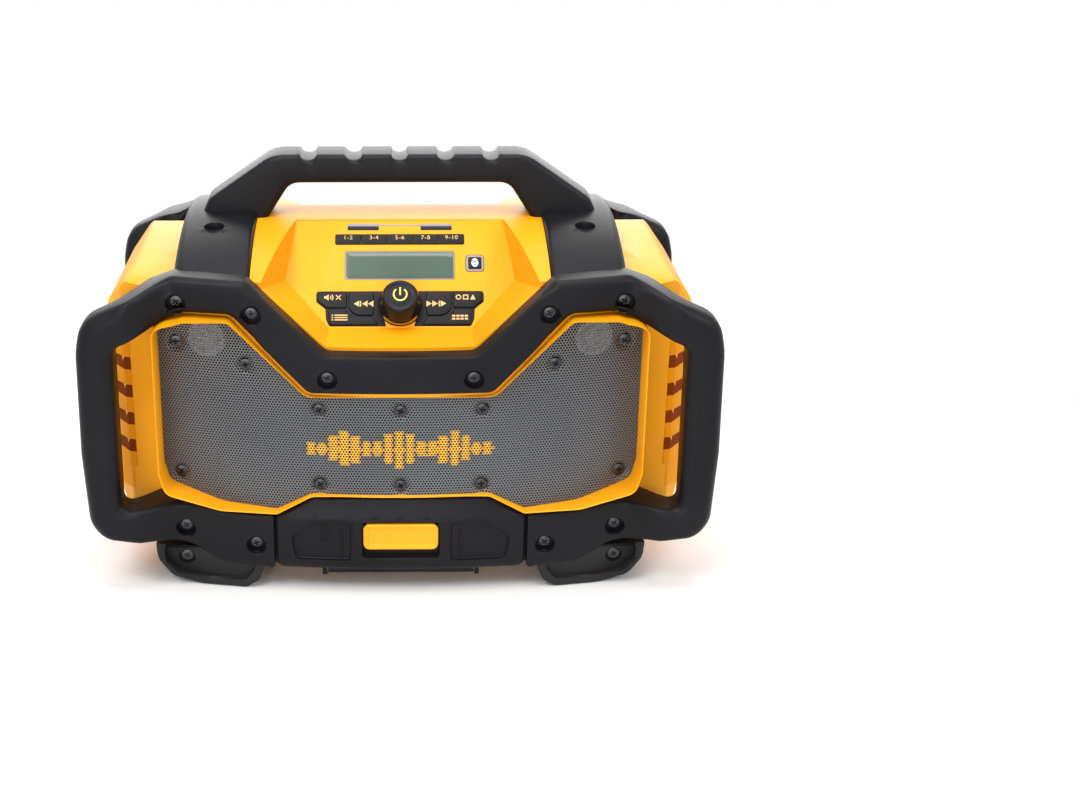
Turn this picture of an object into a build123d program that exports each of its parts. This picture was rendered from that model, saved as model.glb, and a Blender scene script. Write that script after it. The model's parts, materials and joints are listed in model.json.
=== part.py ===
from build123d import *
import math
import os

# A jobsite radio: yellow housing, two black bumper cages with grab loops, a top handle on two
# shoulder straps, a sloping control deck, a battery bay on the left and outlets on the right.
# Millimetres, +Z up, front towards -Y, origin at the floor under the middle of the radio.

# ---- driving dimensions ----
HALF_WIDTH = 237.5          # to the outside of a grab loop
FRONT_Y = -135.0            # front face of the front cage
LOOP_DEPTH = 30.0           # grab loops, front to back
TOP_Z = 314.0               # top of the handle
BODY_HALF = 222.0           # half width of the yellow housing
BODY_BOTTOM = 18.0
BODY_TOP = 247.0            # crest of the housing under the straps
DECK_BLOCK_TOP = 266.0      # crest of the raised middle of the housing
DECK_BLOCK_HALF = 109.5
SEAM_Y = 54.0               # joint between front and rear housing
WALL = 3.0
DECK_WALL = 5.0
BAFFLE_Y = -119.0           # housing front wall at x = 0
BAFFLE_EDGE = (184.0, -90.0)
LIP_Z = 195.0               # front edge of the deck's lower lip
LOUVRE_Z = [76 + 22.5 * i for i in range(5)]
LOUVRE_HALF = 9.6           # half height of a louvre pocket
GRILLE_Y = -129.0           # grille front face at x = 0
GRILLE_BOW = 0.00087        # y = GRILLE_Y + GRILLE_BOW * x^2
GRILLE_THICK = 1.5
TRIM_WIDTH = 4.2
FOOT_TOP = 17.8
SCREW_R = 2.0
GAP = 0.35                  # clearance between moving pieces

# Control deck: a plane that leans back 49 degrees; s is measured up its slope.
DECK_LEAN = math.radians(49.0)
DECK = Plane(origin=(0, -56, 224.6), x_dir=(1, 0, 0),
             z_dir=(0, -math.sin(DECK_LEAN), math.cos(DECK_LEAN)))
KNOB_S = -18.3
KNOB_BASE_R = 15.5
KNOB_CAP_R = 12.0
KNOB_HEIGHT = 18.0
LENS_HALF = 42.0
LENS_S = (2.6, 26.8)         # low and high edge of the display window
KEY_RISE = 1.0
KEY_DEPTH = 2.4
POCKET_DEPTH = 3.6

# Front storage door and its bin
DOOR_HALF = 94.0
DOOR_HINGE = (-121.0, 15.6)  # y, z of the hinge pin
BIN_HALF = 85.0

# Left battery door, right socket plate: the same frame on each side
PANEL_Y = (-28.0, 48.0)
PANEL_Z = (48.0, 188.0)
PANEL_FACE = 223.0
BAY_Y = (-24.0, 44.0)
BAY_Z = (54.0, 182.0)
BAY_DEPTH = 64.0
BATTERY_HINGE = (-226.0, 190.4)  # x, z of the pin
COVER_Z = (84.0, 151.0)      # centres of the two outlet covers
COVER_Y = 10.0
COVER_R = 24.0

# Cord: a wound coil on two hooks at the back
CORD_R = 3.5
COIL_HALF = 56.0             # half length of the coil's straight part
COIL_R = 34.0                # to the middle of the coil's bundle
COIL_BUNDLE = (15.0, 14.5)   # radial and front-to-back size of the bundle
COIL_Z = 121.5
COIL_Y = 111.0
RECESS_Y = 101.0             # floor of the cord recess in the rear housing
PLUG_Y = 119.5
PLUG_Z = 182.0

os.makedirs("parts", exist_ok=True)


def front_plane(y):
    """Plane facing the viewer at this y; sketch x is X and sketch y is Z."""
    return Plane.XZ.offset(-y)


def side_plane(x):
    """Plane facing +X at this x; sketch x is Y and sketch y is Z."""
    return Plane.YZ.offset(x)


def both_sides(half):
    """Closed outline from its right half: points (x, z, corner radius) in order."""
    left = [(-x, z, r) for x, z, r in reversed(half) if x > 0]
    return half + left


def rounded(corners):
    """Closed outline of straight runs with the stated radius at each corner."""
    count = len(corners)
    for i, (x, z, r) in enumerate(corners):
        before = Vector(*corners[i - 1][:2])
        here = Vector(x, z)
        after = Vector(*corners[(i + 1) % count][:2])
        a = (before - here).normalized()
        b = (after - here).normalized()
        turn = a.get_angle(b)
        cut = r / math.tan(math.radians(turn / 2)) if r else 0
        start = here + a * cut
        end = here + b * cut
        if i:
            Line(last, start)
        else:
            first = start
        if r:
            middle = here + (a + b).normalized() * (r / math.sin(math.radians(turn / 2)) - r)
            ThreePointArc(start, middle, end)
        last = end
    Line(last, first)


def bow(x, depth=0.0):
    """y of the grille's bowed surface at this x, moved back by depth."""
    return GRILLE_Y + GRILLE_BOW * x * x + depth


def save(part, name):
    part.label = name
    export_step(part, f"parts/{name}.step")


def slab(corners, y0, y1):
    """Extrude an outline drawn in X and Z from y0 back to y1."""
    with BuildPart() as made:
        with BuildSketch(front_plane(y1)):
            with BuildLine():
                rounded(corners)
            make_face()
        extrude(amount=y1 - y0)
    return made.part


def side_slab(corners, x0, x1):
    """Extrude an outline drawn in Y and Z from x0 to x1."""
    with BuildPart() as made:
        with BuildSketch(side_plane(x0)):
            with BuildLine():
                rounded(corners)
            make_face()
        extrude(amount=x1 - x0)
    return made.part


def box(x, y, z):
    """Box from three (low, high) pairs."""
    with BuildPart() as made:
        with Locations(((x[0] + x[1]) / 2, (y[0] + y[1]) / 2, (z[0] + z[1]) / 2)):
            Box(x[1] - x[0], y[1] - y[0], z[1] - z[0])
    return made.part


def rod(start, end, radius):
    """Round rod between two points."""
    axis = Vector(*end) - Vector(*start)
    with BuildPart() as made:
        with BuildSketch(Plane(origin=start, z_dir=axis.normalized())):
            Circle(radius)
        extrude(amount=axis.length)
    return made.part


# ---- shared shapes ----

def plan_band(front, back, reach):
    """Tall solid between two bowed lines in plan, each given as (side x, side y, middle y)."""
    with BuildPart() as made:
        with BuildSketch(Plane.XY):
            with BuildLine():
                ThreePointArc((-front[0], front[1]), (0, front[2]), (front[0], front[1]))
                Polyline((front[0], front[1]), *reach, (back[0], back[1]))
                ThreePointArc((back[0], back[1]), (0, back[2]), (-back[0], back[1]))
                Polyline((-back[0], back[1]), *[(-x, y) for x, y in reversed(reach)],
                         (-front[0], front[1]))
            make_face()
        extrude(amount=TOP_Z)
    return made.part


def housing_shape(inset):
    """Solid of the yellow housing, or of its cavity when inset is the wall."""
    low = BODY_BOTTOM + inset
    side = BODY_HALF - inset
    half = [(0, low, 0), (188 - inset / 2, low, 8), (213 - inset, 46 + inset / 2, 14),
            (side - 1.5, 74, 20), (side, 213 - inset / 2, 13), (205 - inset / 2, 236 - inset, 18),
            (165, BODY_TOP - inset, 25), (0, BODY_TOP - inset, 0)]
    profile_top = BODY_TOP - inset
    with BuildPart() as made:
        with BuildSketch(front_plane(140)):
            with BuildLine():
                rounded(both_sides(half))
            make_face()
        extrude(amount=280)
        with BuildSketch(side_plane(-BODY_HALF)):
            with BuildLine():
                ThreePointArc((-112, 225 - inset), (0, profile_top), (112, 225 - inset))
                Polyline((112, 225 - inset), (112, 34 + inset), (95, 34 + inset), (88, low),
                         (-88, low), (-95, 34 + inset), (-125, 34 + inset), (-125, 225 - inset),
                         (-112, 225 - inset))
            make_face()
        extrude(amount=2 * BODY_HALF, mode=Mode.INTERSECT)
    with BuildPart() as crown:
        with BuildSketch(side_plane(-DECK_BLOCK_HALF + inset)):
            with BuildLine():
                ThreePointArc((-120, 238 - inset), (0, DECK_BLOCK_TOP - inset), (120, 238 - inset))
                Polyline((120, 238 - inset), (120, 150), (-120, 150), (-120, 238 - inset))
            make_face()
        extrude(amount=2 * (DECK_BLOCK_HALF - inset))
    edge_x, edge_y = BAFFLE_EDGE
    waist = [(edge_x + 2 - inset, edge_y + inset), (208 - inset, -82 + inset),
             (BODY_HALF - inset, -66 + inset / 2), (BODY_HALF - inset, 66 - inset / 2),
             (208 - inset, 82 - inset)]
    plan = plan_band((edge_x - inset, edge_y + inset, BAFFLE_Y + inset),
                     (edge_x - inset, -edge_y - inset, -BAFFLE_Y - inset), waist)
    with BuildPart() as whole:
        add(made.part)
        add(crown.part)
        add(plan, mode=Mode.INTERSECT)
    return whole.part


def deck_cutter(grow):
    """Space in front of the control deck: a channel that narrows towards the flat panel."""
    def channel(half_top, shoulder_z, half_low, low_z):
        return [(half_low, low_z, 0), (half_top, shoulder_z, 0), (half_top, 330, 0),
                (-half_top, 330, 0), (-half_top, shoulder_z, 0), (-half_low, low_z, 0)]
    with BuildPart() as made:
        with BuildSketch(front_plane(-122)):
            with BuildLine():
                rounded(channel(104 + grow, 240 - grow, 55 + grow / 2, LIP_Z - grow))
            make_face()
        with BuildSketch(front_plane(-22)):
            with BuildLine():
                rounded(channel(79.5 + grow, 220 - grow, 52 + grow / 2, LIP_Z + 5 - grow))
            make_face()
        loft()
        split(bisect_by=DECK.offset(-grow), keep=Keep.TOP)
    return made.part


# ---- bumper cages ----

def cage_outline():
    """Closed band: right outer edge, over the V, left outer edge, and back inside."""
    outer = [(96, 19.5, 0), (136, 22, 12), (158, 34, 12), (190, 42, 30), (223, 46, 14),
             (236.5, 60, 12), (HALF_WIDTH, 115, 60), (236, 196, 60), (231, 219, 20),
             (165, 249, 12), (111, 247.5, 10), (54.5, 192.8, 12)]
    inner = [(67.5, 164.6, 10), (121.5, 220.6, 10), (160, 220.6, 12), (211, 196, 11),
             (212.5, 62, 9), (150, 65, 20), (136, 67, 0), (96, 63.9, 0)]
    band = outer + [(-x, z, r) for x, z, r in reversed(outer)]
    band += [(-x, z, r) for x, z, r in reversed(inner)] + inner
    return band


CAGE_SCREWS = [(163, 229.2), (108, 223), (53.6, 175), (164, 49.4), (110, 38.6)]
FOOT_SCREW = (165, 22.5)


def cage_face(x):
    """y of the cage's bowed front face."""
    return FRONT_Y + 0.00062 * x * x


def cage_plan():
    """Plan shape of a cage: bowed in the middle, with straight loops that stand forward."""
    return plan_band((168, cage_face(168), FRONT_Y), (BAFFLE_EDGE[0], BAFFLE_EDGE[1], BAFFLE_Y),
                     [(200, FRONT_Y), (HALF_WIDTH + 1, FRONT_Y), (HALF_WIDTH + 1, FRONT_Y + LOOP_DEPTH),
                      (200, FRONT_Y + LOOP_DEPTH)])


def cage_slope():
    """Space above the V of a cage: its upper face slopes up from the front to the deck's lip."""
    with BuildPart() as made:
        for y, low_z, high_z in ((-137, 189.2, 244.6), (-118, LIP_Z - 2, 248.5)):
            with BuildSketch(front_plane(y)):
                with BuildLine():
                    rounded(both_sides([(0, low_z, 0), (54.5, low_z, 8), (112, high_z, 0), (112, 330, 0),
                                        (0, 330, 0)]))
                make_face()
        loft()
    return made.part


with BuildPart() as front_cage:
    with BuildSketch(front_plane(-80)):
        with BuildLine():
            rounded(cage_outline())
        make_face()
    extrude(amount=60)
    add(cage_plan(), mode=Mode.INTERSECT)
    add(cage_slope(), mode=Mode.SUBTRACT)
    for x, z in CAGE_SCREWS:
        for side in (-1, 1):
            face = cage_face(x)
            add(rod((side * x, face - 12, z), (side * x, face + 7, z), 7), mode=Mode.SUBTRACT)
            add(rod((side * x, face, z), (side * x, -80, z), SCREW_R + 0.2), mode=Mode.SUBTRACT)
save(front_cage.part, "front_cage")

with BuildPart() as rear_cage:
    mirror(front_cage.part, about=Plane.XZ)
    add(slab([(-97, 21, 0), (97, 21, 0), (97, 63, 0), (-97, 63, 0)], 119.2, 131))
save(rear_cage.part, "rear_cage")

# ---- housings ----

whole_housing = housing_shape(0)
cavity = housing_shape(WALL)
control_space = deck_cutter(0)
rear_slope = control_space.mirror(Plane.XZ)     # the back has the same slope, plain
deck_solid = deck_cutter(DECK_WALL)
cavity = cavity - deck_solid - deck_solid.mirror(Plane.XZ)
cavity = cavity - box((-115, 115), (RECESS_Y - WALL, 140), (74, 169))
for side in (-1, 1):
    # thicker corners behind the louvres and the finger pockets
    low, high = sorted((side * 196, side * 230))
    cavity = cavity - box((low, high), (-95, -30), (62, 190))
    cavity = cavity - box((low, high), (-95, -42), (196, 240))

GRILLE_SCREWS = [(166, 195.4), (114, 181.7), (60.4, 148.7), (60.5, 88.3), (167, 90.4)]
WOOFER = (128.0, 134.0, 42.0)     # x, z and radius of the opening
TWEETER = (143.0, 199.0, 12.0)


def plan_prism(points, low_z, high_z):
    """Upright prism from an outline drawn in X and Y."""
    with BuildPart() as made:
        with BuildSketch(Plane.XY.offset(low_z)):
            with BuildLine():
                Polyline(*points, close=True)
            make_face()
        extrude(amount=high_z - low_z)
    return made.part


# wedge pockets on the right: one louvre column round the corner, one on the flank, and a finger pocket
body_pockets = []
for z in LOUVRE_Z:
    for wedge in ([(204.5, -95), (235, -95), (235, -51), (220.5, -51)],
                  [(222.2, -46), (235, -46), (235, -33.5), (217.5, -33.5)]):
        body_pockets.append(plan_prism(wedge, z - LOUVRE_HALF, z + LOUVRE_HALF))
body_pockets.append(side_slab([(-80, 229, 0), (-50, 231, 2), (-66, 204, 3)], 196, 230) - housing_shape(6.5))


def deck_hole(outline, depth):
    """Pocket or window in the deck, from just above its surface down to depth."""
    with BuildPart() as made:
        with BuildSketch(DECK.offset(2)):
            with BuildLine():
                rounded(outline)
            make_face()
        extrude(amount=-(depth + 2))
    return made.part


def deck_block(outline, low, high):
    """Solid on the deck between two heights above its surface."""
    with BuildPart() as made:
        with BuildSketch(DECK.offset(low)):
            with BuildLine():
                rounded(outline)
            make_face()
        extrude(amount=high - low)
    return made.part


def deck_rod(x, s, radius, low, high):
    """Round rod standing on the deck."""
    with BuildPart() as made:
        with BuildSketch(DECK.offset(low)):
            with Locations((x, s)):
                Circle(radius)
        extrude(amount=high - low)
    return made.part


def rectangle(x0, x1, s0, s1, radius=0.0):
    return [(x0, s0, radius), (x1, s0, radius), (x1, s1, radius), (x0, s1, radius)]


def grown(corners, amount):
    """Axis-aligned outline pushed outwards by amount."""
    middle_x = sum(c[0] for c in corners) / len(corners)
    middle_s = sum(c[1] for c in corners) / len(corners)
    return [(x + math.copysign(amount, x - middle_x), s + math.copysign(amount, s - middle_s), r)
            for x, s, r in corners]


ISLAND = [(-63.5, -6.6, 2.5), (-8.5, -6.6, 0), (-13.2, -12.3, 0), (-13.6, -18.3, 0), (-13.2, -24.8, 0),
          (-10.5, -35.4, 0), (-53.5, -35.4, 2), (-56, -29.6, 2), (-56.5, -21.3, 2), (-63.5, -15.4, 2)]
KEYS = {
    "mute_key": [(-62, -7.8, 1.5), (-40.5, -7.8, 1), (-40.5, -20.2, 1), (-55.3, -20.2, 1),
                 (-62, -14.8, 1.5)],
    "menu_key": [(-54.6, -22.2, 1), (-40.5, -22.2, 1), (-40.5, -28.2, 0), (-20.5, -28.2, 1),
                 (-16.5, -34.2, 0), (-52.6, -34.2, 1.5)],
    "previous_key": [(-38.8, -7.8, 3), (-20.4, -7.8, 1), (-19.4, -18, 0), (-20.4, -26.4, 1),
                     (-38.8, -26.4, 3)],
}
MIRRORED_KEYS = {"mute_key": "mode_key", "menu_key": "memory_key", "previous_key": "next_key"}


def flipped(outline):
    return [(-x, s, r) for x, s, r in reversed(outline)]


for left_name, right_name in MIRRORED_KEYS.items():
    KEYS[right_name] = flipped(KEYS[left_name])

PRESET_S = (32.2, 40.4)
PRESET_PITCH = 19.8
WIRELESS = rectangle(50.4, 64.0, 9.4, 23.0, 3)
INLAY_TABS = [rectangle(side * 28 - 12, side * 28 + 12, 44, 49.6, 0.8) for side in (-1, 1)]
INLAY_BAR = rectangle(-16.5, 16.5, 47.6, 48.8)

with BuildPart() as front_housing:
    add(whole_housing)
    add(box((-300, 300), (SEAM_Y, 200), (0, 400)), mode=Mode.SUBTRACT)
    add(cavity, mode=Mode.SUBTRACT)
    add(control_space, mode=Mode.SUBTRACT)
    add(rear_slope, mode=Mode.SUBTRACT)
    # openings of the deck
    add(deck_hole(rectangle(-LENS_HALF, LENS_HALF, *LENS_S, 2), 1.6), mode=Mode.SUBTRACT)
    add(deck_hole(rectangle(-40, 40, LENS_S[0] + 2, LENS_S[1] - 2, 0), 9), mode=Mode.SUBTRACT)
    add(deck_hole(ISLAND, POCKET_DEPTH), mode=Mode.SUBTRACT)
    add(deck_hole(flipped(ISLAND), POCKET_DEPTH), mode=Mode.SUBTRACT)
    half_bar = 2.5 * PRESET_PITCH
    add(deck_hole(rectangle(-half_bar, half_bar, PRESET_S[0] - 0.4, PRESET_S[1] + 0.4, 1.5),
                  POCKET_DEPTH), mode=Mode.SUBTRACT)
    add(deck_hole(grown(WIRELESS, 0.4), POCKET_DEPTH), mode=Mode.SUBTRACT)
    for tab in INLAY_TABS + [INLAY_BAR]:
        add(deck_hole(tab, 0.8), mode=Mode.SUBTRACT)
    add(deck_rod(0, KNOB_S, 5.6, -12, 3), mode=Mode.SUBTRACT)
    # front wall: speakers and storage bin
    for side in (-1, 1):
        x, z, r = WOOFER
        add(rod((side * x, -130, z), (side * x, -80, z), r), mode=Mode.SUBTRACT)
        x, z, r = TWEETER
        add(rod((side * x, -130, z), (side * x, -80, z), r), mode=Mode.SUBTRACT)
        for x, z in CAGE_SCREWS + GRILLE_SCREWS:
            add(rod((side * x, -130, z), (side * x, -84, z), SCREW_R + 0.2), mode=Mode.SUBTRACT)
        for pocket in body_pockets:
            add(pocket if side > 0 else pocket.mirror(Plane.YZ), mode=Mode.SUBTRACT)
    for z in (GRILLE_SCREWS[2][1], GRILLE_SCREWS[3][1]):
        add(rod((0, -130, z), (0, -110, z), SCREW_R + 0.2), mode=Mode.SUBTRACT)
    # ears that carry the battery door's hinge pin
    for y in (-30.2, 50.2):
        add(box((-229, -212), (y - 1.8, y + 1.8), (187, 193.5)))
    add(rod((BATTERY_HINGE[0], -33, BATTERY_HINGE[1]), (BATTERY_HINGE[0], 53, BATTERY_HINGE[1]),
            1.5), mode=Mode.SUBTRACT)
    add(box((-BIN_HALF - 2.5, BIN_HALF + 2.5), (-130, -84), (33, 68.5)), mode=Mode.SUBTRACT)
    # side openings: battery bay and socket plate
    add(box((-240, -200), (BAY_Y[0] - 2, BAY_Y[1] + 2), (BAY_Z[0] - 2, BAY_Z[1] + 2)),
        mode=Mode.SUBTRACT)
    add(box((200, 240), (BAY_Y[0], BAY_Y[1]), (BAY_Z[0], BAY_Z[1])), mode=Mode.SUBTRACT)
    for side in (-1, 1):
        low, high = sorted((side * 218.4, side * 240))
        add(box((low, high), (PANEL_Y[0] - 0.5, PANEL_Y[1] + 0.5),
                (PANEL_Z[0] - 0.5, PANEL_Z[1] + 0.5)), mode=Mode.SUBTRACT)
        add(rod((side * 140, -47, 225), (side * 140, -47, 260), 3.2), mode=Mode.SUBTRACT)
        add(rod((side * 140, 47, 225), (side * 140, 47, 260), 3.2), mode=Mode.SUBTRACT)
save(front_housing.part, "front_housing")

with BuildPart() as rear_housing:
    add(whole_housing)
    add(box((-300, 300), (-200, SEAM_Y), (0, 400)), mode=Mode.SUBTRACT)
    add(cavity, mode=Mode.SUBTRACT)
    add(box((-112, 112), (RECESS_Y, 140), (77, 166)), mode=Mode.SUBTRACT)
    add(rear_slope, mode=Mode.SUBTRACT)
    for x, z in CAGE_SCREWS:
        for side in (-1, 1):
            add(rod((side * x, 84, z), (side * x, 130, z), SCREW_R + 0.2), mode=Mode.SUBTRACT)
save(rear_housing.part, "rear_housing")

# ---- grille and its trim ----

TRIM = both_sides([(0, 78.8, 0), (66.3, 78.8, 8), (93, 64.3, 8), (136, 67.4, 30), (178, 81, 12),
                   (182.5, 98, 10), (182, 207, 5), (174.5, 213.6, 4), (160, 220.6, 12),
                   (121.5, 220.6, 10), (67.5, 164.6, 10), (0, 164.6, 0)])
SIDE_X, SIDE_Y = BAFFLE_EDGE


def grille_outline(shrink):
    with BuildPart() as made:
        with BuildSketch(front_plane(-80)):
            with BuildLine():
                rounded(TRIM)
            make_face()
            if shrink:
                offset(amount=-shrink, mode=Mode.REPLACE)
        extrude(amount=60)
    return made.part


def bowed_layer(front_depth, back=None):
    """Layer behind the grille's surface: from front_depth to back, or to the housing wall."""
    if back is None:
        rear = (SIDE_X, SIDE_Y, BAFFLE_Y)
    else:
        rear = (SIDE_X, bow(SIDE_X, back), bow(0, back))
    return plan_band((SIDE_X, bow(SIDE_X, front_depth), bow(0, front_depth)), rear, [])


with BuildPart() as grille_trim:
    add(grille_outline(0))
    add(bowed_layer(-1.2), mode=Mode.INTERSECT)
    add(grille_outline(TRIM_WIDTH), mode=Mode.SUBTRACT)
save(grille_trim.part, "grille_trim")

GRILLE_POINTS = [(side * x, z) for x, z in GRILLE_SCREWS for side in (-1, 1)]
GRILLE_POINTS += [(0, GRILLE_SCREWS[2][1]), (0, GRILLE_SCREWS[3][1])]

with BuildPart() as speaker_grille:
    add(grille_outline(TRIM_WIDTH))
    add(bowed_layer(0, GRILLE_THICK), mode=Mode.INTERSECT)
    for x, z in GRILLE_POINTS:
        add(rod((x, -140, z), (x, -80, z), 5), mode=Mode.SUBTRACT)
save(speaker_grille.part, "speaker_grille")

# ---- straps, handle and feet ----


def strap(side):
    """Arched strap over the housing, from the front cage to the rear cage."""
    low, high = sorted((side * 110, side * 166))
    with BuildPart() as made:
        with BuildSketch(side_plane(low)):
            with BuildLine():
                ThreePointArc((-113, 243), (0, 271), (113, 243))
                Line((113, 243), (113, 215))
                ThreePointArc((113, 215), (0, 240), (-113, 215))
                Line((-113, 215), (-113, 243))
            make_face()
        extrude(amount=high - low)
        outer = made.edges().filter_by(lambda e: abs(e.center().X - side * 166) < 0.1)
        crest = outer.sort_by(Axis.Z)[-1]
        chamfer(crest, length=9)
        add(whole_housing, mode=Mode.SUBTRACT)
        add(front_cage.part, mode=Mode.SUBTRACT)
        add(rear_cage.part, mode=Mode.SUBTRACT)
        for y in (-47, 47):
            add(rod((side * 140, y, 257), (side * 140, y, 280), 7.5), mode=Mode.SUBTRACT)
            add(rod((side * 140, y, 220), (side * 140, y, 280), 3.2), mode=Mode.SUBTRACT)
        for x, z in CAGE_SCREWS[:2]:
            add(rod((side * x, -120, z), (side * x, -85, z), SCREW_R + 0.2), mode=Mode.SUBTRACT)
            add(rod((side * x, 85, z), (side * x, 120, z), SCREW_R + 0.2), mode=Mode.SUBTRACT)
    with BuildPart() as whole:
        add(made.part.solids().sort_by(SortBy.VOLUME)[-1])
    return whole.part


right_shoulder = strap(1)
left_shoulder = strap(-1)
save(right_shoulder, "right_shoulder")
save(left_shoulder, "left_shoulder")

HANDLE_DEPTH = 36.0
HANDLE_EDGE = 4.0
NOTCH_PITCH = 35.0
with BuildPart() as top_handle:
    with BuildSketch(front_plane(HANDLE_DEPTH / 2)):
        with BuildLine():
            half_arch = [(0, TOP_Z, 0), (97, TOP_Z, 14), (147, 279.5, 12), (157, 258, 0),
                         (101, 258, 0), (85, 292, 9), (0, 292, 0)]
            rounded(both_sides(half_arch))
        make_face()
    extrude(amount=HANDLE_DEPTH)
    above_straps = top_handle.edges().filter_by(lambda e: e.center().Z > 262 and e.bounding_box().size.Y < 0.1)
    fillet(above_straps, radius=HANDLE_EDGE)
    for i in range(-2, 3):
        middle = i * NOTCH_PITCH
        notch = slab([(middle - 3.5, TOP_Z - 4.6, 1.5), (middle + 3.5, TOP_Z - 4.6, 1.5),
                      (middle + 7, TOP_Z + 1, 0), (middle - 7, TOP_Z + 1, 0)], -20, 20)
        add(notch, mode=Mode.SUBTRACT)
    add(whole_housing, mode=Mode.SUBTRACT)
    add(right_shoulder, mode=Mode.SUBTRACT)
    add(left_shoulder, mode=Mode.SUBTRACT)
save(top_handle.part, "top_handle")

FOOT_OUTLINE = [(104.4, 33, 0), (104.4, 19, 6), (109.5, 6, 6), (119, 0, 8), (152, 0, 50),
                (177, 4.5, 14), (188.5, 18, 12), (189, 33, 0)]
FOOT_SETBACK = 3.0           # behind the cage's bowed face
FOOT_SCREW_BACK = -109.5     # back of the head, at the floor of its counterbore
with BuildPart() as front_feet:
    foot = slab(FOOT_OUTLINE, -130, -58)
    add(foot)
    add(foot.mirror(Plane.YZ))
    add(plan_band((190, cage_face(190) + FOOT_SETBACK, FRONT_Y + FOOT_SETBACK), (190, -58, -57.9), []),
        mode=Mode.INTERSECT)
    add(whole_housing, mode=Mode.SUBTRACT)
    add(box((-200, 200), (-200, 0), (FOOT_TOP + 0.2, 60)) & box((-200, 200), (-92, 0), (0, 60)),
        mode=Mode.SUBTRACT)
    add(front_cage.part, mode=Mode.SUBTRACT)
    x, z = FOOT_SCREW
    for side in (-1, 1):
        add(rod((side * x, -125, z), (side * x, FOOT_SCREW_BACK, z), 6), mode=Mode.SUBTRACT)
        add(rod((side * x, -120, z), (side * x, -94, z), SCREW_R + 0.05), mode=Mode.SUBTRACT)
save(front_feet.part, "front_feet")

with BuildPart() as rear_feet:
    mirror(front_feet.part, about=Plane.XZ)
save(rear_feet.part, "rear_feet")

# ---- fasteners ----


def screw(x, y, z, toward, head_r=4.6, head=2.8, shank=16.0):
    """Screw along Y: its head's back sits at y and its shank runs toward +Y or -Y."""
    with BuildPart() as made:
        add(rod((x, y - toward * head, z), (x, y, z), head_r))
        add(rod((x, y, z), (x, y + toward * shank, z), SCREW_R))
    return made.part


with BuildPart() as grille_screws:
    for x, z in GRILLE_POINTS:
        add(screw(x, bow(x) + 3.4, z, 1, head_r=4.2, head=2.4, shank=12))
save(grille_screws.part, "grille_screws")

with BuildPart() as cage_screws:
    for x, z in CAGE_SCREWS:
        for side in (-1, 1):
            add(screw(side * x, cage_face(x) + 7, z, 1, shank=20))
            add(screw(side * x, -cage_face(x) - 7, z, -1, shank=20))
    x, z = FOOT_SCREW
    for side in (-1, 1):
        add(screw(side * x, FOOT_SCREW_BACK, z, 1, shank=12))
        add(screw(side * x, -FOOT_SCREW_BACK, z, -1, shank=12))
save(cage_screws.part, "cage_screws")

with BuildPart() as shoulder_bolts:
    for x in (-140, 140):
        for y in (-47, 47):
            add(rod((x, y, 257), (x, y, 262), 6.5))
            add(rod((x, y, 228), (x, y, 257), 3))
save(shoulder_bolts.part, "shoulder_bolts")

# ---- control deck ----

lens_low, lens_high = LENS_S
with BuildPart() as display_lens:
    add(deck_block(rectangle(-41.8, 41.8, lens_low + 0.2, lens_high - 0.2, 2), -1.6, -0.2))
save(display_lens.part, "display_lens")

with BuildPart() as display_module:
    add(deck_block(rectangle(-39.7, 39.7, lens_low + 2.3, lens_high - 2.3, 0), -5, -1.8))
    add(deck_block(rectangle(-45, 45, lens_low - 1.5, lens_high + 1.5, 0), -11, -DECK_WALL))
save(display_module.part, "display_module")

with BuildPart() as panel_inlay:
    for tab in INLAY_TABS + [INLAY_BAR]:
        add(deck_block(tab, -0.8, 0.3))
save(panel_inlay.part, "panel_inlay")


def shrunk(outline, amount):
    """Key outline pulled in evenly, as a sketch on the deck."""
    with BuildSketch(mode=Mode.PRIVATE) as made:
        with BuildLine():
            rounded(outline)
        make_face()
        offset(amount=-amount, mode=Mode.REPLACE)
    return made.sketch


with BuildPart() as keypad_mats:
    for island in (ISLAND, flipped(ISLAND)):
        with BuildSketch(DECK.offset(-POCKET_DEPTH)):
            add(shrunk(island, 0.05))
        extrude(amount=POCKET_DEPTH - 0.4)
    for outline in KEYS.values():
        with BuildSketch(DECK.offset(-POCKET_DEPTH)):
            add(shrunk(outline, -GAP))
        extrude(amount=POCKET_DEPTH, mode=Mode.SUBTRACT)
save(keypad_mats.part, "keypad_mats")

for name, outline in KEYS.items():
    save(deck_block(outline, -KEY_DEPTH, KEY_RISE), name)

for i in range(5):
    start = (i - 2.5) * PRESET_PITCH
    outline = rectangle(start + 0.3, start + PRESET_PITCH - 0.3, *PRESET_S, 1)
    save(deck_block(outline, -KEY_DEPTH, KEY_RISE - 0.3), f"preset_button_{i + 1}")

save(deck_block(WIRELESS, -KEY_DEPTH, KEY_RISE - 0.3), "wireless_button")

# knob on its shaft, and the push sleeve that slides in the encoder
KNOB_BASE = 1.2
SHAFT_R = 3.0
SLEEVE_R = 5.0
FIT = 0.05                   # running clearance of pins and shafts
with BuildPart() as knob:
    with BuildSketch(DECK.offset(KNOB_BASE)):
        with Locations((0, KNOB_S)):
            Circle(KNOB_BASE_R)
    extrude(amount=5.0)
    with BuildSketch(DECK.offset(KNOB_BASE + 5)):
        with Locations((0, KNOB_S)):
            Circle(KNOB_CAP_R + 1.2)
    extrude(amount=KNOB_HEIGHT - 5, taper=4)
    add(deck_rod(0, KNOB_S, SHAFT_R, KNOB_BASE, KNOB_HEIGHT - 4), mode=Mode.SUBTRACT)
save(knob.part, "knob")
save(deck_rod(0, KNOB_S, SHAFT_R, -16, KNOB_HEIGHT - 4), "knob_shaft")

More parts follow.
